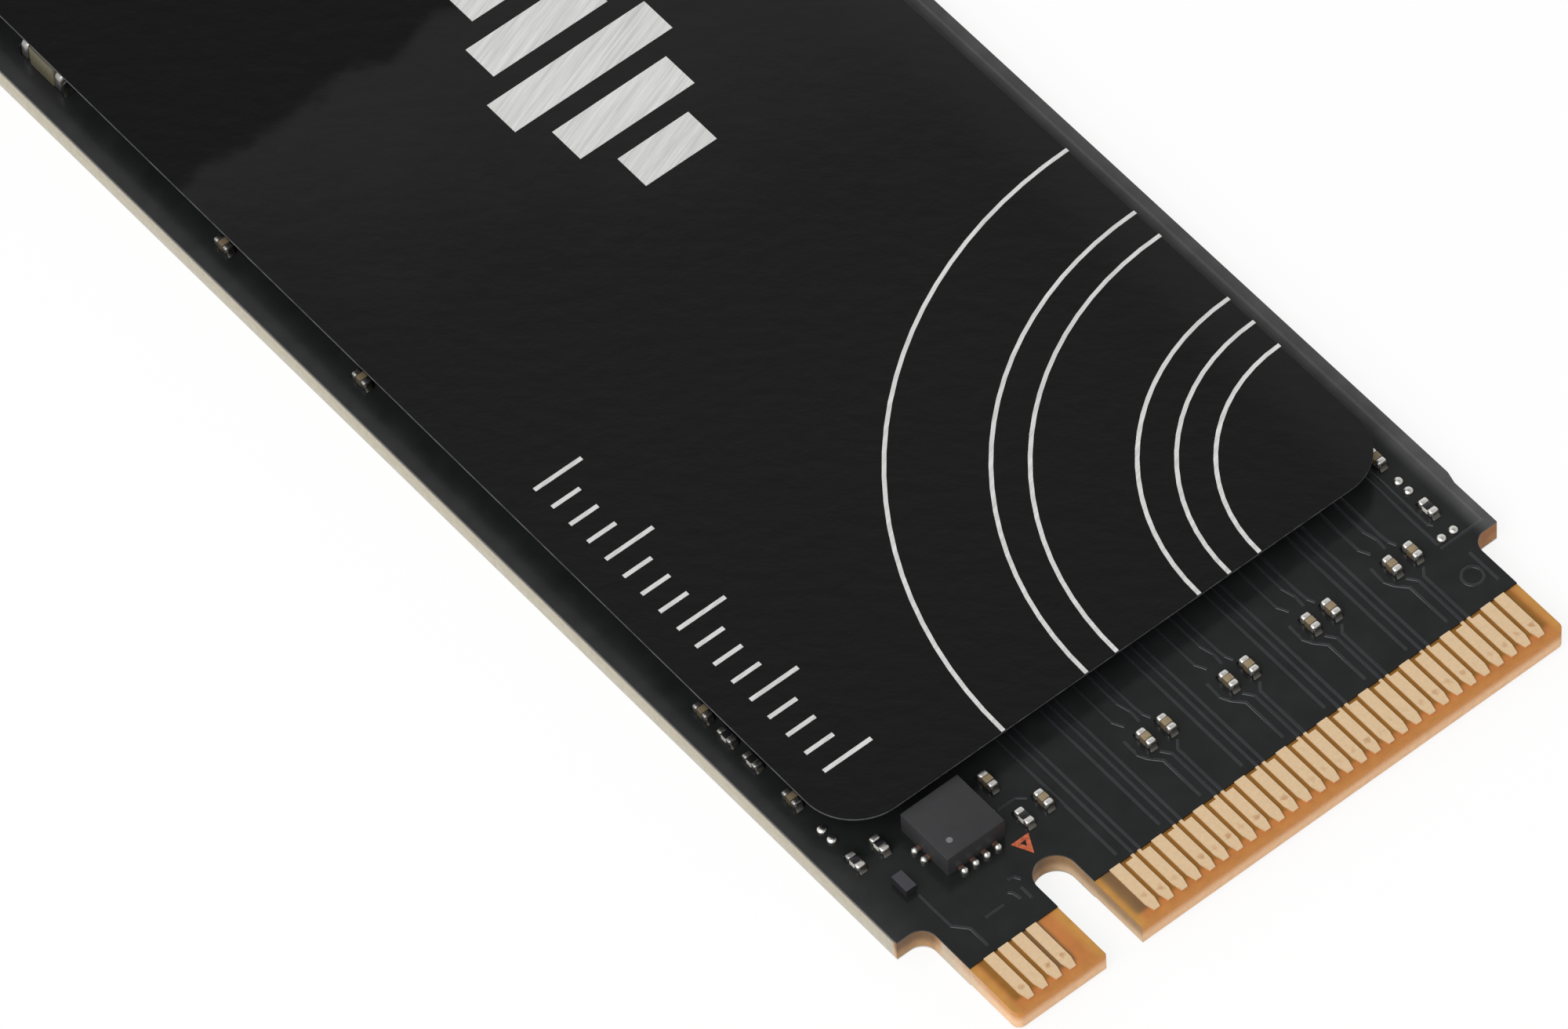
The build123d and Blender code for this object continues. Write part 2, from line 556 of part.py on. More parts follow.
def build():
    """Every piece of the drive, under its node name."""
    controller_y, buffer_y, power_y, flash_1_y, flash_2_y = package_rows()
    power_chip_x = -HALF_WIDTH / 2
    bulk_x = -HALF_WIDTH + LEFT_COLUMN_INSET + (BULK_WIDTH - SMALL_WIDTH) / 2
    bulk_y = power_y + (POWER_ROW_LENGTH - BULK_LENGTH) / 2 - FILLET_REACH
    switch_y = END_Y + SWITCH_FROM_END
    diode_x = -HALF_WIDTH + DIODE_INSET
    crystal_x = (CONTROLLER_SIZE + CRYSTAL_WIDTH) / 2 + CRYSTAL_GAP

    capacitor = two_terminal(SMALL_LENGTH, SMALL_WIDTH, CAPACITOR_HEIGHT, TERMINAL_LENGTH)
    resistor = two_terminal(SMALL_LENGTH, SMALL_WIDTH, RESISTOR_HEIGHT, TERMINAL_LENGTH)
    bulk = two_terminal(BULK_LENGTH, BULK_WIDTH, BULK_HEIGHT, BULK_TERMINAL)
    lane_bodies, lane_ends, lane_solder = placed(capacitor, lane_places())
    cap_bodies, cap_ends, cap_solder = placed(capacitor, capacitor_places())
    res_bodies, res_ends, res_solder = placed(resistor, resistor_places())
    bulk_bodies, bulk_ends, bulk_solder = placed(bulk, [(bulk_x, bulk_y, 0)])

    return {
        "circuit_board": circuit_board(),
        "solder_mask_top": solder_mask(CORE_TOP_Z),
        "solder_mask_bottom": solder_mask(0),
        "signal_traces": signal_traces(),
        "edge_contacts_top": edge_contacts_top(),
        "edge_contacts_bottom": edge_contacts_bottom(),
        "screw_pads": screw_pads(),
        "controller_package": package(0, controller_y, CONTROLLER_SIZE, CONTROLLER_SIZE, PACKAGE_HEIGHT),
        "buffer_memory_package": package(0, buffer_y, BUFFER_WIDTH, BUFFER_LENGTH, PACKAGE_HEIGHT),
        "flash_package_1": package(0, flash_1_y, FLASH_WIDTH, FLASH_LENGTH, PACKAGE_HEIGHT),
        "flash_package_2": package(0, flash_2_y, FLASH_WIDTH, FLASH_LENGTH, PACKAGE_HEIGHT),
        "power_chip": chip(power_chip_x, power_y, POWER_CHIP_SIZE, POWER_CHIP_HEIGHT),
        "power_inductors": power_inductors(power_y),
        "clock_crystal": clock_crystal(crystal_x, controller_y),
        "load_switch_chip": chip(SWITCH_X, switch_y, SWITCH_SIZE, SWITCH_HEIGHT),
        "load_switch_leads": switch_leads(SWITCH_X, switch_y),
        "lane_capacitor_bodies": lane_bodies,
        "lane_capacitor_terminals": lane_ends,
        "capacitor_bodies": cap_bodies,
        "capacitor_terminals": cap_ends,
        "bulk_capacitor_body": bulk_bodies,
        "bulk_capacitor_terminals": bulk_ends,
        "resistor_bodies": res_bodies,
        "resistor_terminals": res_ends,
        "solder_fillets": lane_solder + cap_solder + res_solder + bulk_solder,
        "pad_solder": pad_solder(),
        "protection_diode": protection_diode(diode_x, END_Y + DIODE_FROM_END),
        "key_mark": key_mark(),
        "label": label(),
        "label_stripes": label_stripes(),
        "label_bars": label_bars(),
    }


os.makedirs("parts", exist_ok=True)
for node, shape in build().items():
    solid = Compound(shape) if isinstance(shape, list) else shape
    export_step(solid, f"parts/{node}.step")
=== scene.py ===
"""Dresses a plug-in solid state drive: board, contacts, soldered parts, label and a studio stage.

Blender and the frame work in metres. Sizes are written here in millimetres, times MM.
"""
import math
from functools import partial

import bmesh
import bpy
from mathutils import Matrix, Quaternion, Vector


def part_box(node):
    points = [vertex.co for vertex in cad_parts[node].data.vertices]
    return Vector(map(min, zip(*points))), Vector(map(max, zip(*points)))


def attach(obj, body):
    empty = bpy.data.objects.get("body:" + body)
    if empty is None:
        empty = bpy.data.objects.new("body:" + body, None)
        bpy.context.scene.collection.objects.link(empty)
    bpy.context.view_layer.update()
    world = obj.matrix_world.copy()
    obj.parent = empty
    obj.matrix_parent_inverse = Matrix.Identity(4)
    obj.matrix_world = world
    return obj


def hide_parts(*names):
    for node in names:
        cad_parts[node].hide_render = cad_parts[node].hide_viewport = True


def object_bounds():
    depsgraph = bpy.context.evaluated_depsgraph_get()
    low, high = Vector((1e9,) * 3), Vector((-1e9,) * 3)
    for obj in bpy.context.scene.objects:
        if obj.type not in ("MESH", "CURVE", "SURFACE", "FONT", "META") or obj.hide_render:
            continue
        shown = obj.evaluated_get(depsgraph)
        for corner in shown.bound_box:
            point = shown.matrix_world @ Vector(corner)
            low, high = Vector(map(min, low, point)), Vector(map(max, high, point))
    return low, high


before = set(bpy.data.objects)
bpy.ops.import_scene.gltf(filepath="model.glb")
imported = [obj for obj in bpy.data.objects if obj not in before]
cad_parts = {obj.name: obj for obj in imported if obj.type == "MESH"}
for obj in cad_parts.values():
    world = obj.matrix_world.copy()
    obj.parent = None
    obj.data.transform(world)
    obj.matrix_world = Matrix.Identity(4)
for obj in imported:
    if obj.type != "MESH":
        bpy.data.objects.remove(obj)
CAD_LOW, CAD_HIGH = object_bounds()

bl_info = {
    "name": "Plug-in Drive Dresser",
    "version": (1, 0, 0),
    "blender": (4, 5, 0),
    "location": "3D View > Sidebar > Drive",
    "description": "Models and finishes the pieces of a plug-in solid state drive on its frame",
    "category": "Object",
}

MM = 0.001
TOUCHING = 0.001 * MM           # corners closer than this are one
PAIR_SPACING = 0.28 * MM        # traces closer than this are a signal pair
FACING = 0.9                    # a normal that reaches this far along an axis faces that way
# Sizes for the finishes, in millimetres.
TONGUE_HALF = 9.925             # half the width of the connector tongue
SLOT_HALF = 0.65                # half the width of the key slot
CONTACT_PITCH = 0.5
CONTACT_HALF = 0.18             # half the width of a contact
# What the nodes are told again and again.
MIX_A, MIX_B = 6, 7             # the two colour inputs of a Mix node
SOFT = {"interpolation_type": "SMOOTHSTEP"}     # a range that eases in and out

BOARD_LOW, BOARD_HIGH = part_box("circuit_board")
MASK_LOW, MASK_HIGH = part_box("solder_mask_top")
CONTACT_LOW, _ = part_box("edge_contacts_top")
LABEL_LOW, LABEL_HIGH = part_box("label")
CHIP_LOW, CHIP_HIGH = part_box("load_switch_chip")
_, BUFFER_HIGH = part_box("buffer_memory_package")
KEY_LOW, KEY_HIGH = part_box("key_mark")


def linear(hex_colour):
    """An sRGB hex colour as linear red, green, blue and alpha."""
    channels = [int(hex_colour[start:start + 2], 16) / 255 for start in (1, 3, 5)]
    lit = [c / 12.92 if c <= 0.04045 else ((c + 0.055) / 1.055) ** 2.4 for c in channels]
    return (*lit, 1.0)


class DriveSizes(bpy.types.PropertyGroup):
    """Sizes of the small forms that are modelled on the frame."""
    label_radius: bpy.props.FloatProperty(
        name="Label corner radius", description="Radius of the film's four die-cut corners",
        default=1.75 * MM, min=0.1 * MM, max=5 * MM, precision=5, unit="LENGTH")
    label_rim: bpy.props.FloatProperty(
        name="Label rim", description="Width of the rounded rim that the die leaves on the film",
        default=0.015 * MM, min=0.001 * MM, max=0.03 * MM, precision=6, unit="LENGTH")
    chip_edge: bpy.props.FloatProperty(
        name="Chip edge", description="Rounding of the load switch chip's sawn edges",
        default=0.03 * MM, min=0.005 * MM, max=0.2 * MM, precision=6, unit="LENGTH")
    end_rounding: bpy.props.FloatProperty(
        name="Terminal rounding", description="Rounding of the dipped terminals, as a share of their size",
        default=0.27, min=0.02, max=0.3, subtype="FACTOR")
    body_rounding: bpy.props.FloatProperty(
        name="Body rounding", description="Rounding of the tumbled ceramic bodies, as a share of their size",
        default=0.07, min=0.02, max=0.2, subtype="FACTOR")
    ridge_flank: bpy.props.FloatProperty(
        name="Ridge flank", description="Width of the slope on each side of a ridge over a trace",
        default=0.035 * MM, min=0.005 * MM, max=0.045 * MM, precision=6, unit="LENGTH")
    solder_hollow: bpy.props.FloatProperty(
        name="Solder hollow", description="Profile of the solder's slope, hollow below a quarter",
        default=0.17, min=0.05, max=0.5, subtype="FACTOR")


def colour_property(name, description, hex_colour):
    """A colour that a user may change, from its sRGB value."""
    return bpy.props.FloatVectorProperty(
        name=name, description=description, default=linear(hex_colour),
        size=4, min=0.0, max=1.0, subtype="COLOR")


class DriveColours(bpy.types.PropertyGroup):
    """Colours of the drive's finishes."""
    film: colour_property("Label film", "Black label film", "#090909")
    foil: colour_property("Foil edge", "Cut edge of the foil inside the label", "#606063")
    print_silver: colour_property("Silver print", "Pinstripes, bars and ticks on the label", "#e6e6e4")
    mask: colour_property("Solder mask", "Black solder mask", "#1d1e1e")
    mask_ridge: colour_property("Mask on copper", "Solder mask where it runs over traces", "#212426")
    mask_edge: colour_property("Mask off copper", "Solder mask at the edges, with no copper below", "#4c4c4c")
    resin: colour_property("Laminate", "Bare glass-epoxy on the connector tongue", "#b4723c")
    resin_rim: colour_property("Laminate rim", "Bare laminate near the tongue's edges", "#b78a42")
    resin_on_copper: colour_property("Laminate on copper", "Bare laminate above inner copper", "#875c22")
    tongue_top: colour_property("Tongue edge, top", "Upper part of the tongue's routed edge", "#c07e3b")
    tongue_foot: colour_property("Tongue edge, foot", "Lower part of the tongue's routed edge", "#e0b68d")
    # The slot and notch walls are darker than the tongue's: partly the darker resin that routing leaves,
    # partly painted shade for the hollows they line.
    slot_top: colour_property("Slot side, top", "Upper part of the key slot's long walls", "#92724e")
    slot_foot: colour_property("Slot side, foot", "Lower part of the key slot's long walls", "#c9ad8c")
    notch_top: colour_property("Notch wall, top", "Top of the slot's end and the shoulders", "#6f5439")
    notch_foot: colour_property("Notch wall, foot", "Foot of the slot's end and the shoulders", "#a5825b")
    edge_top: colour_property("Long edge, top", "Upper part of the board's long edges", "#aaa290")
    edge_foot: colour_property("Long edge, foot", "Lower part of the board's long edges", "#ada89a")
    gold: colour_property("Contact gold", "Hard gold on the edge contacts", "#e5c79f")
    copper: colour_property("Copper", "Bare ends of the load switch's lead frame", "#9c7460")
    tin: colour_property("Tin", "Dipped terminals", "#f0eee9")
    solder: colour_property("Solder", "Drops of solder at the leads and on the bare pads", "#e9e7e1")
    # The joint colour is a darker copy of the solder: painted shade, for the black board that the joints
    # mirror.
    joint: colour_property("Solder joint", "Flux-dulled solder at the feet of the small parts", "#74726c")
    ceramic: colour_property("Capacitor ceramic", "Fired ceramic of the small capacitors", "#8c7b5f")
    # The bulk ceramic is olive of its own, and darker still as painted shade for the label above it.
    bulk_ceramic: colour_property("Bulk ceramic", "Fired ceramic of the bulk capacitor", "#6b6550")
    epoxy: colour_property("Moulded epoxy", "Moulded packages", "#232324")
    chip: colour_property("Load switch", "Load switch chip by the key slot", "#262628")
    diode: colour_property("Diode", "Protection diode by the left shoulder", "#36353b")
    ink: colour_property("Key mark", "Orange mark beside the key slot", "#c8623a")


class DriveStage(bpy.types.PropertyGroup):
    """Camera and lighting of the studio."""
    camera_place: bpy.props.FloatVectorProperty(
        name="Camera", description="Where the camera stands",
        default=(-126.434 * MM, -191.857 * MM, 282.329 * MM), precision=6, subtype="XYZ", unit="LENGTH")
    camera_target: bpy.props.FloatVectorProperty(
        name="Aim", description="Point on the board that the camera looks at",
        default=(-3.992 * MM, -22.686 * MM, 0.8 * MM), precision=6, subtype="XYZ", unit="LENGTH")
    camera_roll: bpy.props.FloatProperty(
        name="Roll", description="Turn of the camera about its line of sight",
        default=math.radians(-4.186), subtype="ANGLE")
    lens: bpy.props.FloatProperty(
        name="Lens", description="Focal length on a 36 mm wide sensor",
        default=286.746, min=10.0, unit="CAMERA")
    key_power: bpy.props.FloatProperty(
        name="Key lamp", description="Power of the soft lamp on the left",
        default=2.6, min=0.0, unit="POWER")
    sky_low: bpy.props.FloatProperty(
        name="Walls", description="Brightness of the studio near the horizon", default=0.8, min=0.0)
    sky_high: bpy.props.FloatProperty(
        name="Ceiling", description="Brightness of the studio overhead", default=0.25, min=0.0)


def add_node(owner, kind, inputs=None, **settings):
    """Adds a node: settings are its own properties, inputs its values, or the sockets or nodes it takes."""
    node = owner.node_tree.nodes.new("ShaderNode" + kind)
    for name, value in settings.items():
        setattr(node, name, value)
    for socket, value in (inputs or {}).items():
        if isinstance(value, bpy.types.Node):
            value = next(output for output in value.outputs if output.enabled)
        if isinstance(value, bpy.types.NodeSocket):
            owner.node_tree.links.new(value, node.inputs[socket])
        else:
            node.inputs[socket].default_value = value
    return node


def empty_tree(owner):
    """Clears the nodes of a material or world, and gives what adds new ones to it."""
    owner.use_nodes = True
    owner.node_tree.nodes.clear()
    return partial(add_node, owner)


def start_material(name):
    """A new material, what adds nodes to it, and the place on the piece in millimetres."""
    material = bpy.data.materials.new(name)
    add = empty_tree(material)
    inputs = {0: add("TexCoord").outputs["Object"], 1: (1 / MM, 1 / MM, 1 / MM)}
    return material, add, add("VectorMath", inputs, operation="MULTIPLY")


def end_material(material, add, sockets, relief=None, strength=0.0, depth=0.01):
    """Closes a material with its shader, and with a fine relief in millimetres where one is given."""
    if relief:
        sockets["Normal"] = add("Bump", {"Strength": strength, "Distance": depth * MM, "Height": relief})
    add("OutputMaterial", {"Surface": add("BsdfPrincipled", sockets)})
    return material


def tinted(add, colour, pattern, first, last, low=0.3, high=0.7):
    """A colour times a shade, which runs from first to last as the pattern runs from low to high."""
    shade = add("MapRange", {0: pattern, 1: low, 2: high, 3: first, 4: last})
    return add("VectorMath", {0: colour, 1: shade}, operation="MULTIPLY")


def facing(add):
    """How far the surface faces along X, Y and Z."""
    return add("SeparateXYZ", {0: add("NewGeometry").outputs["Normal"]}).outputs


def glass_epoxy_laminate(colours):
    """Glass-epoxy laminate, pressed from woven glass and routed to its outline."""
    # Amber resin, orange on the tongue and brown over inner copper, with paler, dusty routed walls.
    material, add, place = start_material("glass_epoxy_laminate")
    x, y, z = add("SeparateXYZ", {0: place}).outputs
    slot_x = (KEY_LOW.x + KEY_HIGH.x) / 2 / MM
    end_y = BOARD_LOW.y / MM
    slot_way = add("Math", {0: x, 1: slot_x}, operation="SUBTRACT")
    slot_way = add("Math", {0: slot_way}, operation="ABSOLUTE")
    side_way = add("Math", {0: x}, operation="ABSOLUTE")
    # Inner copper stops short of the end and the sides, and has an opening round the key slot, off centre.
    past_end = add("MapRange", {0: y, 1: end_y + 0.30, 2: end_y + 0.52}, **SOFT)
    opening = add("Math", {0: x, 1: slot_x - 0.27}, operation="SUBTRACT")
    opening = add("Math", {0: opening}, operation="ABSOLUTE")
    past_slot = add("MapRange", {0: opening, 1: SLOT_HALF + 0.35, 2: SLOT_HALF + 0.55}, **SOFT)
    past_side = add("MapRange", {0: side_way, 1: TONGUE_HALF - 0.375, 2: TONGUE_HALF - 0.175, 3: 1.0, 4: 0.0},
                    **SOFT)
    copper = add("Math", {0: past_end, 1: past_slot}, operation="MULTIPLY")
    copper = add("Math", {0: copper, 1: past_side}, operation="MULTIPLY")
    face = add("Mix", {0: copper, MIX_A: colours.resin, MIX_B: colours.resin_on_copper}, data_type="RGBA")
    # The tongue's rim is golden, and over the copper beside the slot the resin is dusky.
    near_end = add("MapRange", {0: y, 1: end_y + 0.05, 2: end_y + 0.3, 3: 0.25, 4: 0.0}, **SOFT)
    near_slot = add("MapRange", {0: slot_way, 1: SLOT_HALF + 0.05, 2: SLOT_HALF + 0.45, 3: 0.7, 4: 0.0},
                    **SOFT)
    near_side = add("MapRange", {0: side_way, 1: TONGUE_HALF - 0.325, 2: TONGUE_HALF - 0.075, 3: 0.0, 4: 0.7},
                    **SOFT)
    glow = add("Math", {0: near_end, 1: near_slot}, operation="MAXIMUM")
    glow = add("Math", {0: glow, 1: near_side}, operation="MAXIMUM")
    face = add("Mix", {0: glow, MIX_A: face, MIX_B: colours.resin_rim}, data_type="RGBA")
    cloud = add("TexNoise", {"Vector": place, "Scale": 2.2, "Detail": 4.0})
    face = tinted(add, face, cloud, 0.92, 1.08)
    dusk = add("MapRange", {0: opening, 1: SLOT_HALF + 0.85, 2: SLOT_HALF + 1.25, 3: 0.4, 4: 0.0})
    dusk = add("Math", {0: dusk, 1: copper}, operation="MULTIPLY")
    face = add("Mix", {0: dusk, MIX_A: face, MIX_B: colours.mask_edge}, data_type="RGBA")
    # Routed walls run from one tone at the top to another at the foot, in four kinds.
    foot_z = BOARD_LOW.z / MM
    wall_height = (BOARD_HIGH.z - BOARD_LOW.z) / MM
    height = add("MapRange", {0: z, 1: foot_z + 0.1 * wall_height, 2: foot_z + 0.7 * wall_height}, **SOFT)
    pale = add("MapRange", {0: z, 1: foot_z + 0.3 * wall_height, 2: foot_z + 0.85 * wall_height}, **SOFT)
    tones = []
    for rise, foot, top in ((height, colours.edge_foot, colours.edge_top),
                            (pale, colours.tongue_foot, colours.tongue_top),
                            (height, colours.notch_foot, colours.notch_top),
                            (height, colours.slot_foot, colours.slot_top)):
        tones.append(add("Mix", {0: rise, MIX_A: foot, MIX_B: top}, data_type="RGBA"))
    edge_tone, tongue_tone, notch_tone, slot_tone = tones
    tongue = add("MapRange", {0: y, 1: end_y + 4.0, 2: end_y + 4.2, 3: 1.0, 4: 0.0}, **SOFT)
    in_slot = add("MapRange", {0: slot_way, 1: SLOT_HALF + 0.002, 2: SLOT_HALF + 0.006, 3: 1.0, 4: 0.0})
    in_slot = add("Math", {0: in_slot, 1: tongue}, operation="MULTIPLY")
    in_corner = add("MapRange", {0: y, 1: end_y + 3.2, 2: end_y + 3.6})
    in_corner = add("Math", {0: in_corner, 1: tongue}, operation="MULTIPLY")
    notch = add("Math", {0: in_slot, 1: in_corner}, operation="MAXIMUM")
    # The tongue's flanks grow dusty towards the shoulders, and the right shoulder is more amber.
    flank = add("MapRange", {0: y, 1: end_y + 0.5, 2: end_y + 3.0, 3: 0.1, 4: 0.75})
    outer = add("Math", {0: side_way, 1: TONGUE_HALF - 0.075}, operation="GREATER_THAN")
    flank = add("Math", {0: flank, 1: outer}, operation="MULTIPLY")
    below = add("MapRange", {0: y, 1: end_y + 3.2, 2: end_y + 3.5, 3: 1.0, 4: 0.0})
    flank = add("Math", {0: flank, 1: below}, operation="MULTIPLY")
    tongue_tone = add("Mix", {0: flank, MIX_A: tongue_tone, MIX_B: colours.edge_foot}, data_type="RGBA")
    amber = add("MapRange", {0: x, 1: TONGUE_HALF - 0.925, 2: TONGUE_HALF - 0.725, 3: 0.0, 4: 0.5})
    notch_tone = add("Mix", {0: amber, MIX_A: notch_tone, MIX_B: colours.resin}, data_type="RGBA")
    # The mask runs a little way down the long edges.
    rim = add("MapRange", {0: z, 1: foot_z + wall_height - 0.12, 2: foot_z + wall_height - 0.02}, **SOFT)
    edge_tone = add("Mix", {0: rim, MIX_A: edge_tone, MIX_B: colours.mask_edge}, data_type="RGBA")
    wall = add("Mix", {0: tongue, MIX_A: edge_tone, MIX_B: tongue_tone}, data_type="RGBA")
    # The key slot's long walls take the slot tones, and its end wall and the shoulders, which face the front,
    # take the darker notch tones: partly darker routed resin, partly painted shade for these hollows.
    sideways, _, upwards = facing(add)
    sideways = add("Math", {0: sideways}, operation="ABSOLUTE")
    sideways = add("Math", {0: sideways, 1: in_slot}, operation="MULTIPLY")
    hollow = add("Mix", {0: sideways, MIX_A: notch_tone, MIX_B: slot_tone}, data_type="RGBA")
    wall = add("Mix", {0: notch, MIX_A: wall, MIX_B: hollow}, data_type="RGBA")
    dust = add("TexNoise", {"Vector": place, "Scale": 5.0, "Detail": 5.0})
    wall = tinted(add, wall, dust, 0.92, 1.06)
    upwards = add("Math", {0: upwards}, operation="ABSOLUTE")
    flat = add("Math", {0: upwards, 1: 0.5}, operation="GREATER_THAN")
    colour = add("Mix", {0: flat, MIX_A: wall, MIX_B: face}, data_type="RGBA")
    sockets = {"Base Color": colour, "Roughness": 0.55, "IOR": 1.55, "Specular IOR Level": 0.2}
    return end_material(material, add, sockets, dust, 0.35, depth=0.02)


def black_solder_mask(name, colour, edge_colour, roughness, shine, cut_colour=None):
    """Liquid photo-imaged solder mask, cured black, with a dusty cut edge where a colour for it is given."""
    # Semi-gloss black that mirrors its neighbours softly. It is greyer along the edges, partly where no
    # copper lies below and partly as painted light: a paler strip on the right for the brighter reflection
    # there, and a faint lift on the left against the label's shade.
    material, add, place = start_material(name)
    x, _, _ = add("SeparateXYZ", {0: place}).outputs
    left_x = MASK_LOW.x / MM
    right_x = MASK_HIGH.x / MM
    # Painted light, in part: the left strip is lifted against the label's shade, and the right strip is paler
    # for a brighter reflection.
    left = add("MapRange", {0: x, 1: left_x + 1.0, 2: left_x + 0.1, 3: 0.0, 4: 0.2}, **SOFT)
    right = add("MapRange", {0: x, 1: right_x - 0.87, 2: right_x - 0.3}, **SOFT)
    bare = add("Math", {0: left, 1: right}, operation="MAXIMUM")
    shade = add("Mix", {0: bare, MIX_A: colour, MIX_B: edge_colour}, data_type="RGBA")
    cloud = add("TexNoise", {"Vector": place, "Scale": 1.1, "Detail": 4.0})
    shade = tinted(add, shade, cloud, 0.85, 1.2)
    if cut_colour:
        _, _, upwards = facing(add)
        flat = add("Math", {0: upwards}, operation="ABSOLUTE")
        shade = add("Mix", {0: flat, MIX_A: cut_colour, MIX_B: shade}, data_type="RGBA")
    speck = add("TexNoise", {"Vector": place, "Scale": 14.0, "Detail": 2.0})
    rough = add("MapRange", {0: speck, 1: 0.3, 2: 0.7, 3: roughness - 0.04, 4: roughness + 0.05})
    weave = add("TexWave", {"Vector": place, "Scale": 0.35, "Distortion": 2.0, "Detail": 2.0},
                bands_direction="DIAGONAL")
    height = add("Math", {0: speck, 1: weave.outputs["Fac"]}, operation="ADD")
    sockets = {"Base Color": shade, "Roughness": rough, "IOR": 1.5, "Specular IOR Level": shine}
    return end_material(material, add, sockets, height, 0.12)


def contact_gold(colours):
    """Hard gold over nickel, plated satin."""
    # Pale matt gold, worn brown near each tip where the test probe landed.
    material, add, place = start_material("contact_gold")
    x, y, _ = add("SeparateXYZ", {0: place}).outputs
    first_x = CONTACT_LOW.x / MM + CONTACT_HALF - CONTACT_PITCH / 2
    along = add("Math", {0: x, 1: first_x}, operation="SUBTRACT")
    across = add("Math", {0: along, 1: CONTACT_PITCH}, operation="FLOORED_MODULO")
    finger = add("Math", {0: along, 1: CONTACT_PITCH}, operation="DIVIDE")
    finger = add("Math", {0: finger}, operation="FLOOR")
    # Each contact has a spot of its own strength, a little off the middle, with a ragged outline.
    chance = add("TexWhiteNoise", {"W": finger}, noise_dimensions="1D")
    shift = add("VectorMath", {0: chance.outputs["Color"], 1: (0.06, 0.16, 0.0)}, operation="MULTIPLY")
    middle = (CONTACT_PITCH / 2 - 0.03, CONTACT_LOW.y / MM + 0.42, 0.0)
    centre = add("VectorMath", {0: shift, 1: middle}, operation="ADD")
    here = add("CombineXYZ", {0: across, 1: y})
    reach = add("VectorMath", {0: here, 1: centre}, operation="DISTANCE")
    grain = add("TexNoise", {"Vector": place, "Scale": 9.0, "Detail": 4.0})
    ragged = add("Math", {0: grain, 1: 0.2, 2: reach}, operation="MULTIPLY_ADD")
    spot = add("MapRange", {0: ragged, 1: 0.12, 2: 0.24, 3: 0.6, 4: 0.0}, **SOFT)
    spot = add("Math", {0: spot, 1: chance.outputs["Value"]}, operation="MULTIPLY")
    worn = add("Mix", {0: spot, MIX_A: colours.gold, MIX_B: colours.resin}, data_type="RGBA")
    sockets = {"Base Color": tinted(add, worn, grain, 0.94, 1.03), "Metallic": 0.45, "Roughness": 0.5}
    return end_material(material, add, sockets, grain, 0.25, depth=0.008)


def dulled(add, place, colour, share):
    """A colour that is darker on the parts tucked in beside the label: painted shade, for the label's shadow
    and the dark underside that they mirror.
    """
    x, y, _ = add("SeparateXYZ", {0: place}).outputs
    label_x = LABEL_LOW.x / MM
    label_y = LABEL_LOW.y / MM
    beside = add("MapRange", {0: x, 1: label_x + 0.5, 2: label_x + 0.9, 3: 1.0, 4: 0.0})
    behind = add("MapRange", {0: y, 1: label_y - 0.5, 2: label_y})
    both = add("Math", {0: beside, 1: behind}, operation="MULTIPLY")
    return tinted(add, colour, both, 1.0, share, low=0.0, high=1.0)


def painted_side_light(add, colour, share):
    """A colour that is darker or paler on the upright sides of a small body: painted shade where the share is
    below one, painted light where it is above.
    """
    _, _, upwards = facing(add)
    return tinted(add, colour, upwards, share, 1.0, low=0.3, high=0.9)


def dipped_tin(colours):
    """Tin, dipped and reflowed."""
    # White metal with a matt bloom, bright wherever its rounded forms face the lamp.
    known = bpy.data.materials.get("dipped_tin")
    if known:
        return known
    material, add, place = start_material("dipped_tin")
    cloud = add("TexNoise", {"Vector": place, "Scale": 12.0, "Detail": 3.0})
    rough = add("MapRange", {0: cloud, 1: 0.3, 2: 0.7, 3: 0.32, 4: 0.44})
    colour = tinted(add, colours.tin[:3], cloud, 0.92, 1.0)
    # Painted shade: the terminals beside the label are darker, where the label shades them.
    sockets = {"Base Color": dulled(add, place, colour, 0.4), "Metallic": 1.0, "Roughness": rough}
    return end_material(material, add, sockets, cloud, 0.3)


def soft_solder(name, tint, roughness):
    """Solder, melted and set."""
    # A soft white glint on each drop or slope, with the dark board reflected round it.
    material, add, place = start_material(name)
    skin = add("TexNoise", {"Vector": place, "Scale": 10.0, "Detail": 2.0})
    rough = add("MapRange", {0: skin, 1: 0.3, 2: 0.7, 3: roughness - 0.05, 4: roughness + 0.07})
    sockets = {"Base Color": tinted(add, tint[:3], skin, 0.86, 1.0), "Metallic": 1.0, "Roughness": rough}
    return end_material(material, add, sockets, skin, 0.3)


def bare_copper(colours):
    """Copper lead frame, sawn and left bare."""
    # Red-brown metal, dulled by flux.
    material, add, place = start_material("bare_copper")
    stain = add("TexNoise", {"Vector": place, "Scale": 8.0, "Detail": 3.0})
    colour = tinted(add, colours.copper[:3], stain, 0.6, 1.05)
    return end_material(material, add, {"Base Color": colour, "Metallic": 0.7, "Roughness": 0.42})


def fired_ceramic(name, colour, roughness, side_light_share=1.0):
    """Fired and tumbled ceramic."""
    # Matt, faintly speckled, warm brown or white.
    material, add, place = start_material(name)
    speck = add("TexNoise", {"Vector": place, "Scale": 16.0, "Detail": 4.0})
    # Painted side light: the upright sides take the given share of the top's colour.
    shade = painted_side_light(add, tinted(add, colour[:3], speck, 0.86, 1.12), side_light_share)
    # Painted shade: the bodies beside the label are darker, where the label shades them.
    sockets = {"Base Color": dulled(add, place, shade, 0.6), "Roughness": roughness}
    return end_material(material, add, sockets, speck, 0.2)


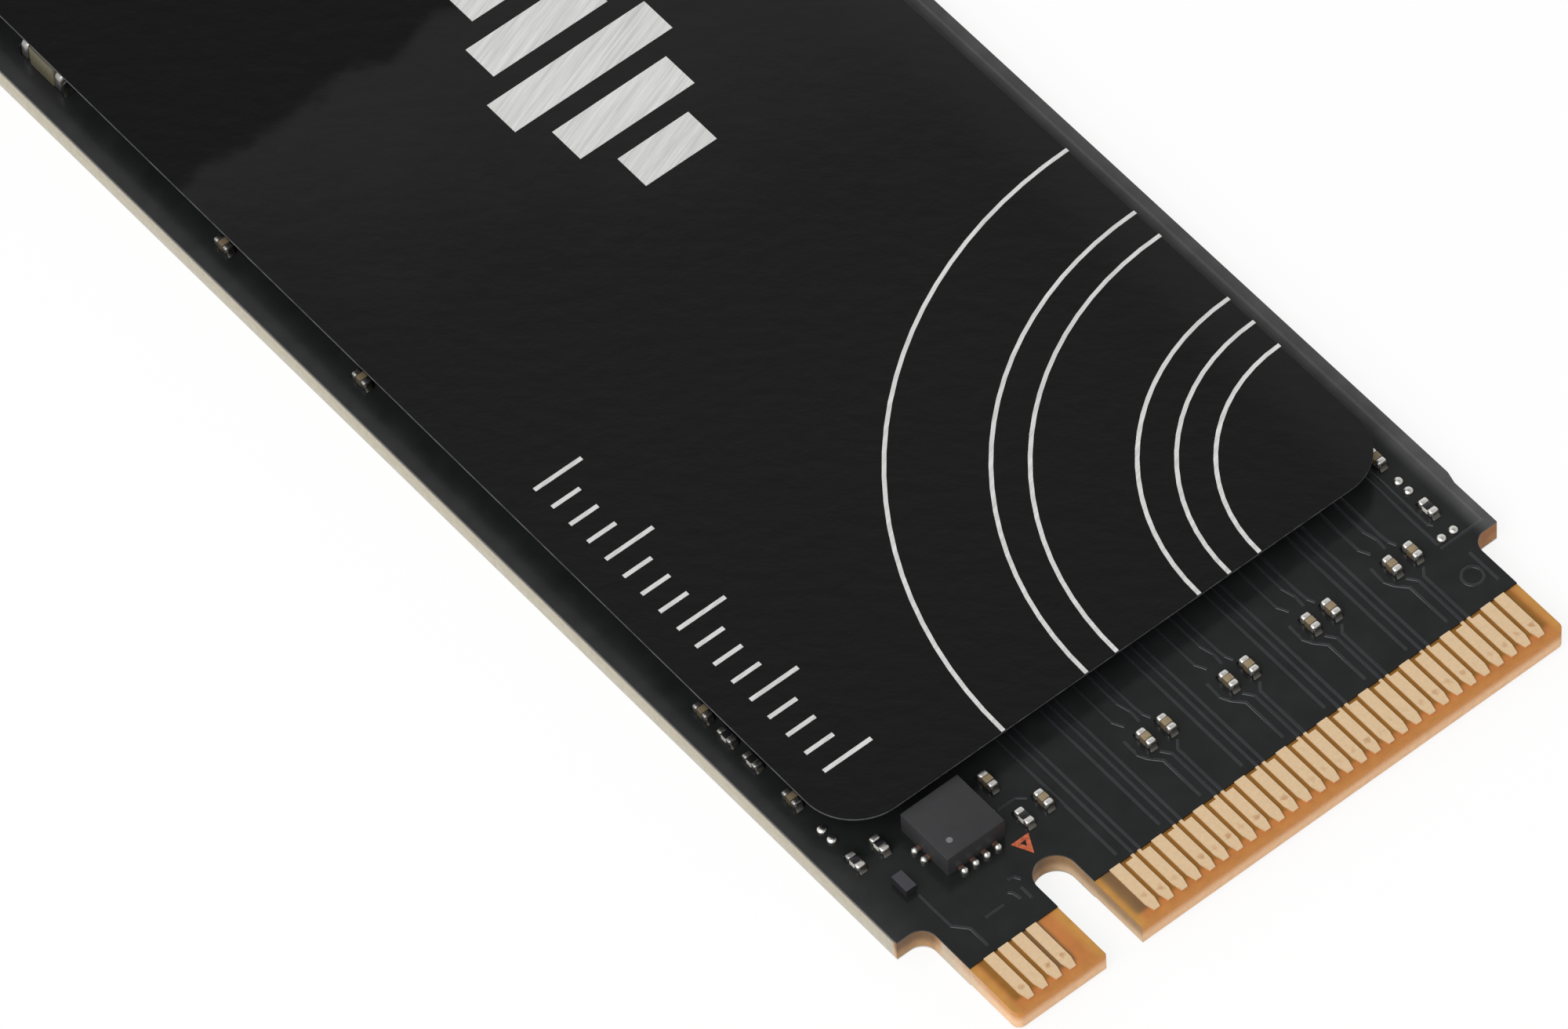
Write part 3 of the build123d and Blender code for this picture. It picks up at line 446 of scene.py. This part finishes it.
def moulded_epoxy(name, colour, roughness, dot=None, side_light_share=1.0):
    """Epoxy mould compound filled with silica, with a lasered dot at the first lead where one is given."""
    # Charcoal with a fine pale speckle of filler, dull sheen.
    material, add, place = start_material(name)
    cloud = add("TexNoise", {"Vector": place, "Scale": 3.0, "Detail": 3.0})
    filler = add("TexVoronoi", {"Vector": place, "Scale": 22.0}).outputs["Distance"]
    shade = tinted(add, colour[:3], cloud, 0.92, 1.08)
    shade = tinted(add, shade, filler, 1.18, 0.94, low=0.0, high=0.5)
    # Painted side light: the upright sides take the given share of the top's colour.
    shade = painted_side_light(add, shade, side_light_share)
    if dot:
        centre, radius, dot_colour = dot
        reach = add("VectorMath", {0: place, 1: centre / MM}, operation="DISTANCE")
        mark = add("MapRange", {0: reach, 1: radius * 0.8, 2: radius * 1.1, 3: 0.85, 4: 0.0}, **SOFT)
        shade = add("Mix", {0: mark, MIX_A: shade, MIX_B: dot_colour}, data_type="RGBA")
    return end_material(material, add, {"Base Color": shade, "Roughness": roughness}, filler, 0.2)


def black_label_film(colours):
    """Polyester film, printed black and laminated satin."""
    # Deep black on fine orange peel. It mirrors a brighter wall where it sinks behind the memory package,
    # and where it droops past the packages on the right.
    material, add, place = start_material("black_label_film")
    x, y, _ = add("SeparateXYZ", {0: place}).outputs
    sink_y = BUFFER_HIGH.y / MM + 4.7
    right_x = LABEL_HIGH.x / MM
    wander = add("TexNoise", {"Vector": place, "Scale": 0.3, "Detail": 3.0})
    drift = add("MapRange", {0: wander, 1: 0.3, 2: 0.7, 3: -1.5, 4: 1.5})
    along = add("Math", {0: x, 1: 0.4, 2: y}, operation="MULTIPLY_ADD")
    along = add("Math", {0: along, 1: drift}, operation="ADD")
    slope = add("MapRange", {0: along, 1: sink_y - 12.0, 2: sink_y - 2.0, 3: 0.0, 4: 0.11}, **SOFT)
    brink = add("Math", {0: drift, 1: 0.4, 2: y}, operation="MULTIPLY_ADD")
    past = add("MapRange", {0: brink, 1: sink_y - 0.4, 2: sink_y + 0.4, 3: 1.0, 4: -0.9}, **SOFT)
    slope = add("Math", {0: slope, 1: past}, operation="MULTIPLY")
    droop = add("MapRange", {0: x, 1: right_x - 2.4, 2: right_x, 3: 0.0, 4: 0.16}, **SOFT)
    lean = add("CombineXYZ", {0: droop, 1: slope})
    sunk = add("VectorMath", {0: add("NewGeometry").outputs["Normal"], 1: lean}, operation="ADD")
    sunk = add("VectorMath", {0: sunk}, operation="NORMALIZE")
    slant = (0, 0, math.radians(-45))
    slanted = add("Mapping", {"Vector": place, "Rotation": slant, "Scale": (0.75, 0.5, 1.0)},
                  vector_type="TEXTURE")
    peel = add("TexNoise", {"Vector": slanted, "Scale": 1.0, "Detail": 3.0})
    bump = add("Bump", {"Strength": 1.0, "Distance": 0.015 * MM, "Height": peel, "Normal": sunk})
    rough = add("MapRange", {0: peel, 1: 0.3, 2: 0.7, 3: 0.14, 4: 0.2})
    sockets = {"Base Color": colours.film, "Roughness": rough, "IOR": 1.5, "Specular IOR Level": 0.2,
               "Normal": bump}
    return end_material(material, add, sockets)


def label_foil(colours):
    """Aluminium foil inside the label, seen on its cut edge and dulled by glue."""
    # A hair-thin grey line round the film.
    material, add, place = start_material("label_foil")
    nick = add("TexNoise", {"Vector": place, "Scale": 3.0, "Detail": 5.0})
    colour = tinted(add, colours.foil[:3], nick, 0.35, 0.9, low=0.35, high=0.65)
    return end_material(material, add, {"Base Color": colour, "Roughness": 0.5})


def brushed_silver_print(colours):
    """Silver foil print with a brushed grain."""
    # Bright silver with fine streaks that run aslant across the board.
    material, add, place = start_material("brushed_silver_print")
    turn = (0, 0, math.radians(20))
    turned = add("Mapping", {"Vector": place, "Rotation": turn, "Scale": (3.0, 0.11, 1.0)},
                 vector_type="TEXTURE")
    streak = add("TexNoise", {"Vector": turned, "Scale": 1.0, "Detail": 5.0, "Roughness": 0.7})
    colour = tinted(add, colours.print_silver[:3], streak, 0.72, 1.0, low=0.35, high=0.65)
    rough = add("MapRange", {0: streak, 1: 0.35, 2: 0.65, 3: 0.5, 4: 0.38})
    return end_material(material, add, {"Base Color": colour, "Metallic": 0.35, "Roughness": rough})


def orange_legend_ink(colours):
    """Screen-printed legend ink."""
    # Dull orange, thin enough that the black shows through in places.
    material, add, place = start_material("orange_legend_ink")
    patch = add("TexNoise", {"Vector": place, "Scale": 7.0, "Detail": 3.0})
    colour = tinted(add, colours.ink[:3], patch, 0.55, 1.05, low=0.35, high=0.65)
    return end_material(material, add, {"Base Color": colour, "Roughness": 0.6})


def clear_selection():
    """Object mode with nothing selected."""
    if bpy.context.object and bpy.context.object.mode != "OBJECT":
        bpy.ops.object.mode_set(mode="OBJECT")
    bpy.ops.object.select_all(action="DESELECT")


def add_block(low, high):
    """A block between two corners, in edit mode with nothing selected."""
    clear_selection()
    bpy.ops.mesh.primitive_cube_add(size=1, location=(low + high) / 2, scale=high - low)
    block = bpy.context.object
    bpy.ops.object.transform_apply()
    bpy.ops.object.mode_set(mode="EDIT")
    bpy.ops.mesh.select_mode(type="EDGE")
    bpy.ops.mesh.select_all(action="DESELECT")
    return block


def select_edges(piece, wanted):
    """Selects the edges of the piece in edit mode whose two ends satisfy the test."""
    mesh = bmesh.from_edit_mesh(piece.data)
    for edge in mesh.edges:
        edge.select = wanted(*(corner.co for corner in edge.verts))
    mesh.select_flush_mode()
    bmesh.update_edit_mesh(piece.data)


def select_faces(piece, wanted):
    """Selects the faces of the piece in edit mode that satisfy the test."""
    bpy.ops.mesh.select_mode(type="FACE")
    mesh = bmesh.from_edit_mesh(piece.data)
    for face in mesh.faces:
        face.select = wanted(face)
    mesh.select_flush_mode()
    bmesh.update_edit_mesh(piece.data)


def copy_of(node):
    """A copy of a CAD node with whole faces, in edit mode."""
    clear_selection()
    piece = bpy.data.objects.new(node + "_copy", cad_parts[node].data.copy())
    bpy.context.scene.collection.objects.link(piece)
    piece.data.materials.clear()
    piece.select_set(True)
    bpy.context.view_layer.objects.active = piece
    bpy.ops.object.mode_set(mode="EDIT")
    bpy.ops.mesh.select_all(action="SELECT")
    bpy.ops.mesh.remove_doubles(threshold=TOUCHING / 2)
    bpy.ops.mesh.dissolve_limited(angle_limit=math.radians(1))
    return piece


def smooth(piece, angle=30):
    """Back to object mode, with soft shading across shallow edges."""
    bpy.ops.object.mode_set(mode="OBJECT")
    bpy.ops.object.shade_smooth_by_angle(angle=math.radians(angle))
    return piece


def settle(piece, name, materials, nodes):
    """Names a finished piece and lets it stand for its CAD nodes."""
    piece.name = name
    piece.data.name = name
    if not piece.data.materials:
        for material in materials:
            piece.data.materials.append(material)
    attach(piece, "root")
    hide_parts(*nodes)


def dress(nodes, material):
    """Gives CAD nodes that keep their own shape their finish."""
    for node in nodes:
        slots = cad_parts[node].data.materials
        slots.clear()
        slots.append(material)


def solids_of(node):
    """Each separate solid in a CAD node: its low and high corners, and the middle of its top."""
    mesh = bmesh.new()
    mesh.from_mesh(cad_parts[node].data)
    bmesh.ops.remove_doubles(mesh, verts=mesh.verts, dist=TOUCHING)
    waiting = set(mesh.verts)
    solids = []
    while waiting:
        found = [waiting.pop()]
        for corner in found:
            for edge in corner.link_edges:
                other = edge.other_vert(corner)
                if other in waiting:
                    waiting.remove(other)
                    found.append(other)
        places = [corner.co.copy() for corner in found]
        low = Vector(min(place[axis] for place in places) for axis in range(3))
        high = Vector(max(place[axis] for place in places) for axis in range(3))
        crest = [place for place in places if high.z - place.z < TOUCHING]
        solids.append((low, high, sum(crest, Vector()) / len(crest)))
    mesh.free()
    return sorted(solids, key=lambda solid: tuple(solid[0]))


def fitted_copies(model, spots):
    """Copies of a unit model, stretched and turned onto each spot, joined as one piece."""
    copies = []
    for place, size, turn in spots:
        clear_selection()
        model.select_set(True)
        bpy.context.view_layer.objects.active = model
        bpy.ops.object.duplicate(linked=False)
        copy = bpy.context.object
        copy.scale = size
        copy.rotation_euler.z = turn
        copy.location = place
        bpy.ops.object.transform_apply()
        copies.append(copy)
    clear_selection()
    for copy in copies:
        copy.select_set(True)
    bpy.context.view_layer.objects.active = copies[0]
    bpy.ops.object.join()
    piece = bpy.context.object
    bpy.data.objects.remove(model)
    return piece


def upright_spots(node):
    """Where a unit block has to stand to fill each solid of a node."""
    spots = []
    for low, high, _ in solids_of(node):
        middle = (low + high) / 2
        spots.append((Vector((middle.x, middle.y, low.z)), high - low, 0.0))
    return spots


def leaning_spots(node):
    """Where a unit ramp has to stand to fill each sloping solid of a node."""
    spots = []
    for low, high, crest in solids_of(node):
        middle = (low + high) / 2
        toe_way = (middle - crest).to_2d().normalized()
        turn = math.atan2(-toe_way.x, toe_way.y)
        size = high - low
        if abs(toe_way.x) > abs(toe_way.y):
            size = Vector((size.y, size.x, size.z))
        foot = Vector((crest.x, crest.y, low.z))
        spots.append((foot, size, turn))
    return spots


def unit_block(rounding, segments):
    """A unit block on the origin with all its edges rounded."""
    block = add_block(Vector((-0.5, -0.5, 0.0)), Vector((0.5, 0.5, 1.0)))
    bpy.ops.mesh.select_all(action="SELECT")
    bpy.ops.mesh.bevel(offset=rounding, segments=segments, profile=0.5, affect="EDGES")
    return smooth(block, 40)


def unit_ramp(reach, hollow, side_rounding):
    """A unit ramp from a wall at Y = 0 down to Y = 1, hollow or full, with rounded flanks."""
    ramp = add_block(Vector((-0.5, 0.0, 0.0)), Vector((0.5, 1.0, 1.0)))
    near = 0.01
    select_edges(ramp, lambda a, b: min(a.y, b.y) > 1 - near and min(a.z, b.z) > 1 - near)
    bpy.ops.mesh.bevel(offset=reach, segments=6, profile=hollow, affect="EDGES", clamp_overlap=False)
    bpy.ops.mesh.select_all(action="DESELECT")
    select_edges(ramp, lambda a, b: abs(a.x) > 0.5 - near and abs(a.x - b.x) < near
                 and max(a.z, b.z) > near and max(a.y, b.y) > near)
    bpy.ops.mesh.bevel(offset=side_rounding, segments=3, profile=0.5, affect="EDGES")
    return smooth(ramp, 50)


def unit_dome():
    """A unit dome of solder on the origin, drawn in a little at its foot."""
    clear_selection()
    bpy.ops.mesh.primitive_uv_sphere_add(segments=24, ring_count=16, radius=0.5)
    dome = bpy.context.object
    bpy.ops.object.mode_set(mode="EDIT")
    bpy.ops.mesh.select_all(action="SELECT")
    foot = -0.2
    bpy.ops.mesh.bisect(plane_co=(0.0, 0.0, foot), plane_no=(0.0, 0.0, 1.0), clear_inner=True, use_fill=True)
    smooth(dome, 60)
    height = 0.5 - foot
    dome.location.z = -foot / height
    dome.scale.z = 1 / height
    bpy.ops.object.transform_apply()
    return dome


def unit_lead(solder, copper):
    """A unit lead from a wall at Y = 0: a copper stub that ends in a drop of solder at Y = 1."""
    half, reach, height = 0.3, 0.6, 0.5
    stub = add_block(Vector((-half, 0.0, 0.0)), Vector((half, reach, height)))
    bpy.ops.mesh.select_all(action="SELECT")
    bpy.ops.mesh.bevel(offset=0.06, segments=2, profile=0.5, affect="EDGES")
    smooth(stub, 40)
    stub.data.materials.append(copper)
    drop = unit_dome()
    drop.data.materials.append(solder)
    drop.scale = (0.9, 0.85, 0.72)
    drop.location.y = 1 - drop.scale.y / 2
    bpy.ops.object.transform_apply()
    stub.select_set(True)
    bpy.ops.object.join()
    return bpy.context.object


class DRIVE_OT_laminate(bpy.types.Operator):
    """Finish the laminate of the board"""
    bl_idname = "drive.laminate"
    bl_label = "Laminate"

    def execute(self, context):
        dress(("circuit_board",), glass_epoxy_laminate(context.scene.drive_colours))
        return {"FINISHED"}


class DRIVE_OT_solder_mask(bpy.types.Operator):
    """Finish the solder mask on both faces"""
    bl_idname = "drive.solder_mask"
    bl_label = "Solder Mask"

    def execute(self, context):
        colours = context.scene.drive_colours
        mask = black_solder_mask("black_solder_mask", colours.mask, colours.mask_edge,
                                 roughness=0.21, shine=0.19)
        dress(("solder_mask_top",), mask)
        mask = black_solder_mask("lower_solder_mask", colours.mask, colours.mask,
                                 roughness=0.21, shine=0.19, cut_colour=colours.edge_foot)
        dress(("solder_mask_bottom",), mask)
        return {"FINISHED"}


class DRIVE_OT_traces(bpy.types.Operator):
    """Model the soft ridges that the mask makes over its traces"""
    bl_idname = "drive.traces"
    bl_label = "Trace Ridges"

    def execute(self, context):
        colours = context.scene.drive_colours
        sizes = context.scene.drive_sizes
        ridges = copy_of("signal_traces")
        low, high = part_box("signal_traces")
        height = high.z - low.z
        bpy.ops.mesh.select_all(action="DESELECT")
        # Signal pairs run on to the necks of their contacts.
        ends = [face.calc_center_median() for face in bmesh.from_edit_mesh(ridges.data).faces
                if face.normal.y < -FACING and face.calc_center_median().y < low.y + 10 * TOUCHING]
        pairs = [end for end in ends if any(0 < (end - other).length < PAIR_SPACING for other in ends)]
        select_faces(ridges, lambda face: face.calc_center_median() in pairs)
        bpy.ops.transform.translate(value=(0.0, MASK_LOW.y - low.y, 0.0))
        bpy.ops.mesh.select_all(action="DESELECT")
        select_faces(ridges, lambda face: face.normal.z > FACING)
        # Each flank has two slopes: shares of its width, and of the ridge's height.
        slopes = ((0.4, 0.6), (0.6, 0.3))
        bpy.ops.transform.translate(value=(0.0, 0.0, -height * sum(rise for _, rise in slopes)))
        for width, rise in slopes:
            bpy.ops.mesh.inset(thickness=sizes.ridge_flank * width, depth=rise * height)
        smooth(ridges, 12)
        mask = black_solder_mask("mask_over_copper", colours.mask_ridge, colours.mask_edge,
                                 roughness=0.26, shine=0.45)
        settle(ridges, "trace_ridges", [mask], ["signal_traces"])
        return {"FINISHED"}


class DRIVE_OT_contacts(bpy.types.Operator):
    """Finish the gold edge contacts and the pads round the screw notch"""
    bl_idname = "drive.contacts"
    bl_label = "Gold Contacts"

    def execute(self, context):
        gold = contact_gold(context.scene.drive_colours)
        dress(("edge_contacts_top", "edge_contacts_bottom", "screw_pads"), gold)
        return {"FINISHED"}


class DRIVE_OT_solder(bpy.types.Operator):
    """Model the solder at the small parts and at the load switch chip"""
    bl_idname = "drive.solder"
    bl_label = "Solder"

    def execute(self, context):
        sizes = context.scene.drive_sizes
        colours = context.scene.drive_colours
        solder = soft_solder("bright_solder", colours.solder, roughness=0.3)
        # Painted shade: the joints are solder in a darker colour than the drops.
        joint = soft_solder("shaded_joint_solder", colours.joint, roughness=0.36)
        copper = bare_copper(colours)
        ramp = unit_ramp(reach=0.92, hollow=sizes.solder_hollow, side_rounding=0.26)
        joints = fitted_copies(ramp, leaning_spots("solder_fillets"))
        settle(joints, "solder_joints", [joint], ["solder_fillets"])
        leads = fitted_copies(unit_lead(solder, copper), leaning_spots("load_switch_leads"))
        settle(leads, "load_switch_solder", [], ["load_switch_leads"])
        domes = fitted_copies(unit_dome(), upright_spots("pad_solder"))
        settle(domes, "pad_solder_domes", [solder], ["pad_solder"])
        return {"FINISHED"}


class DRIVE_OT_terminals(bpy.types.Operator):
    """Model the dipped terminals of the capacitors and resistors"""
    bl_idname = "drive.terminals"
    bl_label = "Terminals"

    def execute(self, context):
        tin = dipped_tin(context.scene.drive_colours)
        rounding = context.scene.drive_sizes.end_rounding
        for part in ("lane_capacitor", "capacitor", "bulk_capacitor", "resistor"):
            node = part + "_terminals"
            ends = fitted_copies(unit_block(rounding, segments=4), upright_spots(node))
            settle(ends, part + "_ends", [tin], [node])
        return {"FINISHED"}


class DRIVE_OT_ceramics(bpy.types.Operator):
    """Model the ceramic bodies of the capacitors"""
    bl_idname = "drive.ceramics"
    bl_label = "Capacitor Bodies"

    def execute(self, context):
        colours = context.scene.drive_colours
        # Painted shade: the capacitors' upright sides are darker than their tops.
        tan = fired_ceramic("capacitor_ceramic", colours.ceramic, roughness=0.5, side_light_share=0.45)
        # Painted shade, in part: the bulk ceramic is darkened for the label's shade.
        olive = fired_ceramic("bulk_capacitor_ceramic", colours.bulk_ceramic, roughness=0.5)
        rounding = context.scene.drive_sizes.body_rounding
        for part, node, ceramic in (("lane_capacitor", "lane_capacitor_bodies", tan),
                                    ("capacitor", "capacitor_bodies", tan),
                                    ("bulk_capacitor", "bulk_capacitor_body", olive)):
            bodies = fitted_copies(unit_block(rounding, segments=2), upright_spots(node))
            settle(bodies, part + "_ceramic", [ceramic], [node])
        return {"FINISHED"}


class DRIVE_OT_resistors(bpy.types.Operator):
    """Model the resistor bodies, a black glaze on white ceramic"""
    bl_idname = "drive.resistors"
    bl_label = "Resistor Bodies"

    def execute(self, context):
        glaze = moulded_epoxy("resistor_glaze", linear("#17171a"), roughness=0.3)
        alumina = fired_ceramic("alumina", linear("#cfccc4"), roughness=0.6)
        body = unit_block(context.scene.drive_sizes.body_rounding, segments=2)
        glaze_foot = 0.9
        body.data.materials.append(alumina)
        body.data.materials.append(glaze)
        for face in body.data.polygons:
            face.material_index = 1 if face.center.z > glaze_foot else 0
        bodies = fitted_copies(body, upright_spots("resistor_bodies"))
        settle(bodies, "resistor_glaze_bodies", [], ["resistor_bodies"])
        return {"FINISHED"}


class DRIVE_OT_load_switch(bpy.types.Operator):
    """Model the load switch chip beside the key slot"""
    bl_idname = "drive.load_switch"
    bl_label = "Load Switch Chip"

    def execute(self, context):
        edge = context.scene.drive_sizes.chip_edge
        chip = add_block(CHIP_LOW, CHIP_HIGH)
        select_edges(chip, lambda a, b: max(a.z, b.z) > CHIP_HIGH.z - edge)
        bpy.ops.mesh.bevel(offset=edge, segments=2, profile=0.5, affect="EDGES")
        smooth(chip, 40)
        dot_place = Vector((CHIP_LOW.x + 0.47 * MM, CHIP_LOW.y + 0.485 * MM, CHIP_HIGH.z))
        dot_radius = 0.1
        # Painted light: the chip's upright sides are paler than its top.
        epoxy = moulded_epoxy("chip_epoxy", context.scene.drive_colours.chip, roughness=0.55,
                              dot=(dot_place, dot_radius, linear("#6f7172")), side_light_share=1.2)
        settle(chip, "load_switch_body", [epoxy], ["load_switch_chip"])
        return {"FINISHED"}


class DRIVE_OT_packages(bpy.types.Operator):
    """Finish the moulded packages and the parts of the power row"""
    bl_idname = "drive.packages"
    bl_label = "Packages"

    def execute(self, context):
        colours = context.scene.drive_colours
        black = moulded_epoxy("package_epoxy", colours.epoxy, roughness=0.5)
        dress(("controller_package", "buffer_memory_package", "flash_package_1", "flash_package_2",
               "power_chip"), black)
        # Painted shade: the diode's upright sides are much darker than its top.
        slate = moulded_epoxy("diode_epoxy", colours.diode, roughness=0.6, side_light_share=0.3)
        dress(("protection_diode",), slate)
        iron = moulded_epoxy("iron_powder_moulding", linear("#4a4a4c"), roughness=0.6)
        dress(("power_inductors",), iron)
        dress(("clock_crystal",), dipped_tin(colours))
        return {"FINISHED"}


class DRIVE_OT_label(bpy.types.Operator):
    """Model the label film over the packages"""
    bl_idname = "drive.label"
    bl_label = "Label Film"

    def execute(self, context):
        sizes = context.scene.drive_sizes
        colours = context.scene.drive_colours
        film = add_block(LABEL_LOW, LABEL_HIGH)
        height = LABEL_HIGH.z - LABEL_LOW.z
        select_edges(film, lambda a, b: abs(a.z - b.z) > height / 2)
        bpy.ops.mesh.bevel(offset=sizes.label_radius, segments=16, profile=0.5, affect="EDGES")
        bpy.ops.mesh.select_all(action="DESELECT")
        select_edges(film, lambda a, b: min(a.z, b.z) > LABEL_HIGH.z - height / 2)
        bpy.ops.mesh.bevel(offset=sizes.label_rim, segments=2, profile=0.5, affect="EDGES")
        smooth(film, 15)
        film.data.materials.append(black_label_film(colours))
        film.data.materials.append(label_foil(colours))
        upright = 0.3
        for face in film.data.polygons:
            face.material_index = 1 if abs(face.normal.z) < upright else 0
        settle(film, "label_film", [], ["label"])
        return {"FINISHED"}


class DRIVE_OT_print(bpy.types.Operator):
    """Finish the silver print on the label and the orange mark on the board"""
    bl_idname = "drive.print"
    bl_label = "Print"

    def execute(self, context):
        colours = context.scene.drive_colours
        dress(("label_stripes", "label_bars"), brushed_silver_print(colours))
        dress(("key_mark",), orange_legend_ink(colours))
        return {"FINISHED"}


class DRIVE_OT_stage(bpy.types.Operator):
    """Set up the floor, the soft light and the camera"""
    bl_idname = "drive.stage"
    bl_label = "Stage"

    def execute(self, context):
        stage = context.scene.drive_stage
        context.scene.view_settings.view_transform = "Standard"
        lay_floor()
        light_studio(stage)
        place_camera(stage)
        return {"FINISHED"}


def lay_floor():
    """A wide white floor at the foot of the part."""
    clear_selection()
    clearance = 0.02 * MM
    bpy.ops.mesh.primitive_plane_add(size=6.0, location=(0.0, 0.0, CAD_LOW.z - clearance))
    floor = bpy.context.object
    floor.name = "studio_floor"
    material = bpy.data.materials.new("white_floor_paint")
    add = empty_tree(material)
    # White paint, lifted towards pure white where it is seen as the background.
    path = add("LightPath").outputs
    seen = add("Math", {0: path["Is Camera Ray"], 1: path["Is Glossy Ray"]}, operation="MAXIMUM")
    seen = add("Math", {0: seen, 1: path["Is Transmission Ray"]}, operation="MAXIMUM")
    lift = add("Math", {0: seen, 1: 0.85}, operation="MULTIPLY")
    paint = add("BsdfDiffuse", {"Color": linear("#f6f6f6")})
    glow = add("Emission", {"Color": (1, 1, 1, 1), "Strength": 1.0})
    add("OutputMaterial", {"Surface": add("MixShader", {0: lift, 1: paint, 2: glow})})
    floor.data.materials.append(material)


def light_studio(stage):
    """A soft lamp on the left, and studio walls under a dimmer ceiling, palest at the back left."""
    lamp = bpy.data.lights.new("key_softbox", "AREA")
    lamp.shape = "SQUARE"
    lamp.size = 0.5
    lamp.energy = stage.key_power
    softbox = bpy.data.objects.new("key_softbox", lamp)
    bpy.context.scene.collection.objects.link(softbox)
    way = Vector((-0.65, -0.22, 0.73)).normalized()
    distance = 0.6
    softbox.location = way * distance
    softbox.rotation_mode = "QUATERNION"
    softbox.rotation_quaternion = (-way).to_track_quat("-Z", "Y")
    world = bpy.data.worlds.new("studio")
    bpy.context.scene.world = world
    add = empty_tree(world)
    direction = add("TexCoord").outputs["Generated"]
    _, _, up = add("SeparateXYZ", {0: direction}).outputs
    level = add("MapRange", {0: up, 1: 0.65, 2: 1.0, 3: stage.sky_low, 4: stage.sky_high}, **SOFT)
    lean = add("VectorMath", {0: direction, 1: (-0.2, 0.2, 0.0)}, operation="DOT_PRODUCT")
    side = add("Math", {0: lean, 1: 1.0}, operation="ADD")
    level = add("Math", {0: level, 1: side}, operation="MULTIPLY")
    sky = add("Background", {"Color": (1, 1, 1, 1), "Strength": level})
    add("OutputWorld", {"Surface": sky})


def place_camera(stage):
    """The camera at the photograph's viewing angle."""
    lens = bpy.data.cameras.new("photo_camera")
    lens.lens = stage.lens
    lens.sensor_width = 36.0
    lens.clip_start = 0.01
    lens.clip_end = 20.0
    camera = bpy.data.objects.new("photo_camera", lens)
    bpy.context.scene.collection.objects.link(camera)
    place = Vector(stage.camera_place)
    sight = Vector(stage.camera_target) - place
    camera.location = place
    camera.rotation_mode = "QUATERNION"
    roll = Quaternion((0.0, 0.0, 1.0), stage.camera_roll)
    camera.rotation_quaternion = sight.to_track_quat("-Z", "Y") @ roll
    bpy.context.scene.camera = camera


class DRIVE_PT_panel(bpy.types.Panel):
    """The steps that dress the drive, in order"""
    bl_idname = "DRIVE_PT_panel"
    bl_label = "Plug-in Drive"
    bl_space_type = "VIEW_3D"
    bl_region_type = "UI"
    bl_category = "Drive"

    def draw(self, context):
        for step in STEPS:
            self.layout.operator(step.bl_idname)
        for name, kind in GROUPS.items():
            box = self.layout.box()
            for entry in kind.__annotations__:
                box.prop(getattr(context.scene, name), entry)


STEPS = (
    DRIVE_OT_laminate, DRIVE_OT_solder_mask, DRIVE_OT_traces, DRIVE_OT_contacts, DRIVE_OT_solder,
    DRIVE_OT_terminals, DRIVE_OT_ceramics, DRIVE_OT_resistors, DRIVE_OT_load_switch, DRIVE_OT_packages,
    DRIVE_OT_label, DRIVE_OT_print, DRIVE_OT_stage,
)
GROUPS = {"drive_sizes": DriveSizes, "drive_colours": DriveColours, "drive_stage": DriveStage}
CLASSES = (*GROUPS.values(), *STEPS, DRIVE_PT_panel)


def register():
    for item in CLASSES:
        bpy.utils.register_class(item)
    for name, kind in GROUPS.items():
        setattr(bpy.types.Scene, name, bpy.props.PointerProperty(type=kind))


def unregister():
    for name in GROUPS:
        delattr(bpy.types.Scene, name)
    for item in reversed(CLASSES):
        bpy.utils.unregister_class(item)


def main():
    """Dresses the drive."""
    register()
    bpy.ops.drive.laminate()
    bpy.ops.drive.solder_mask()
    bpy.ops.drive.traces()
    bpy.ops.drive.contacts()
    bpy.ops.drive.solder()
    bpy.ops.drive.terminals()
    bpy.ops.drive.ceramics()
    bpy.ops.drive.resistors()
    bpy.ops.drive.load_switch()
    bpy.ops.drive.packages()
    bpy.ops.drive.label()
    bpy.ops.drive.print()
    bpy.ops.drive.stage()


if __name__ == "__main__":
    main()
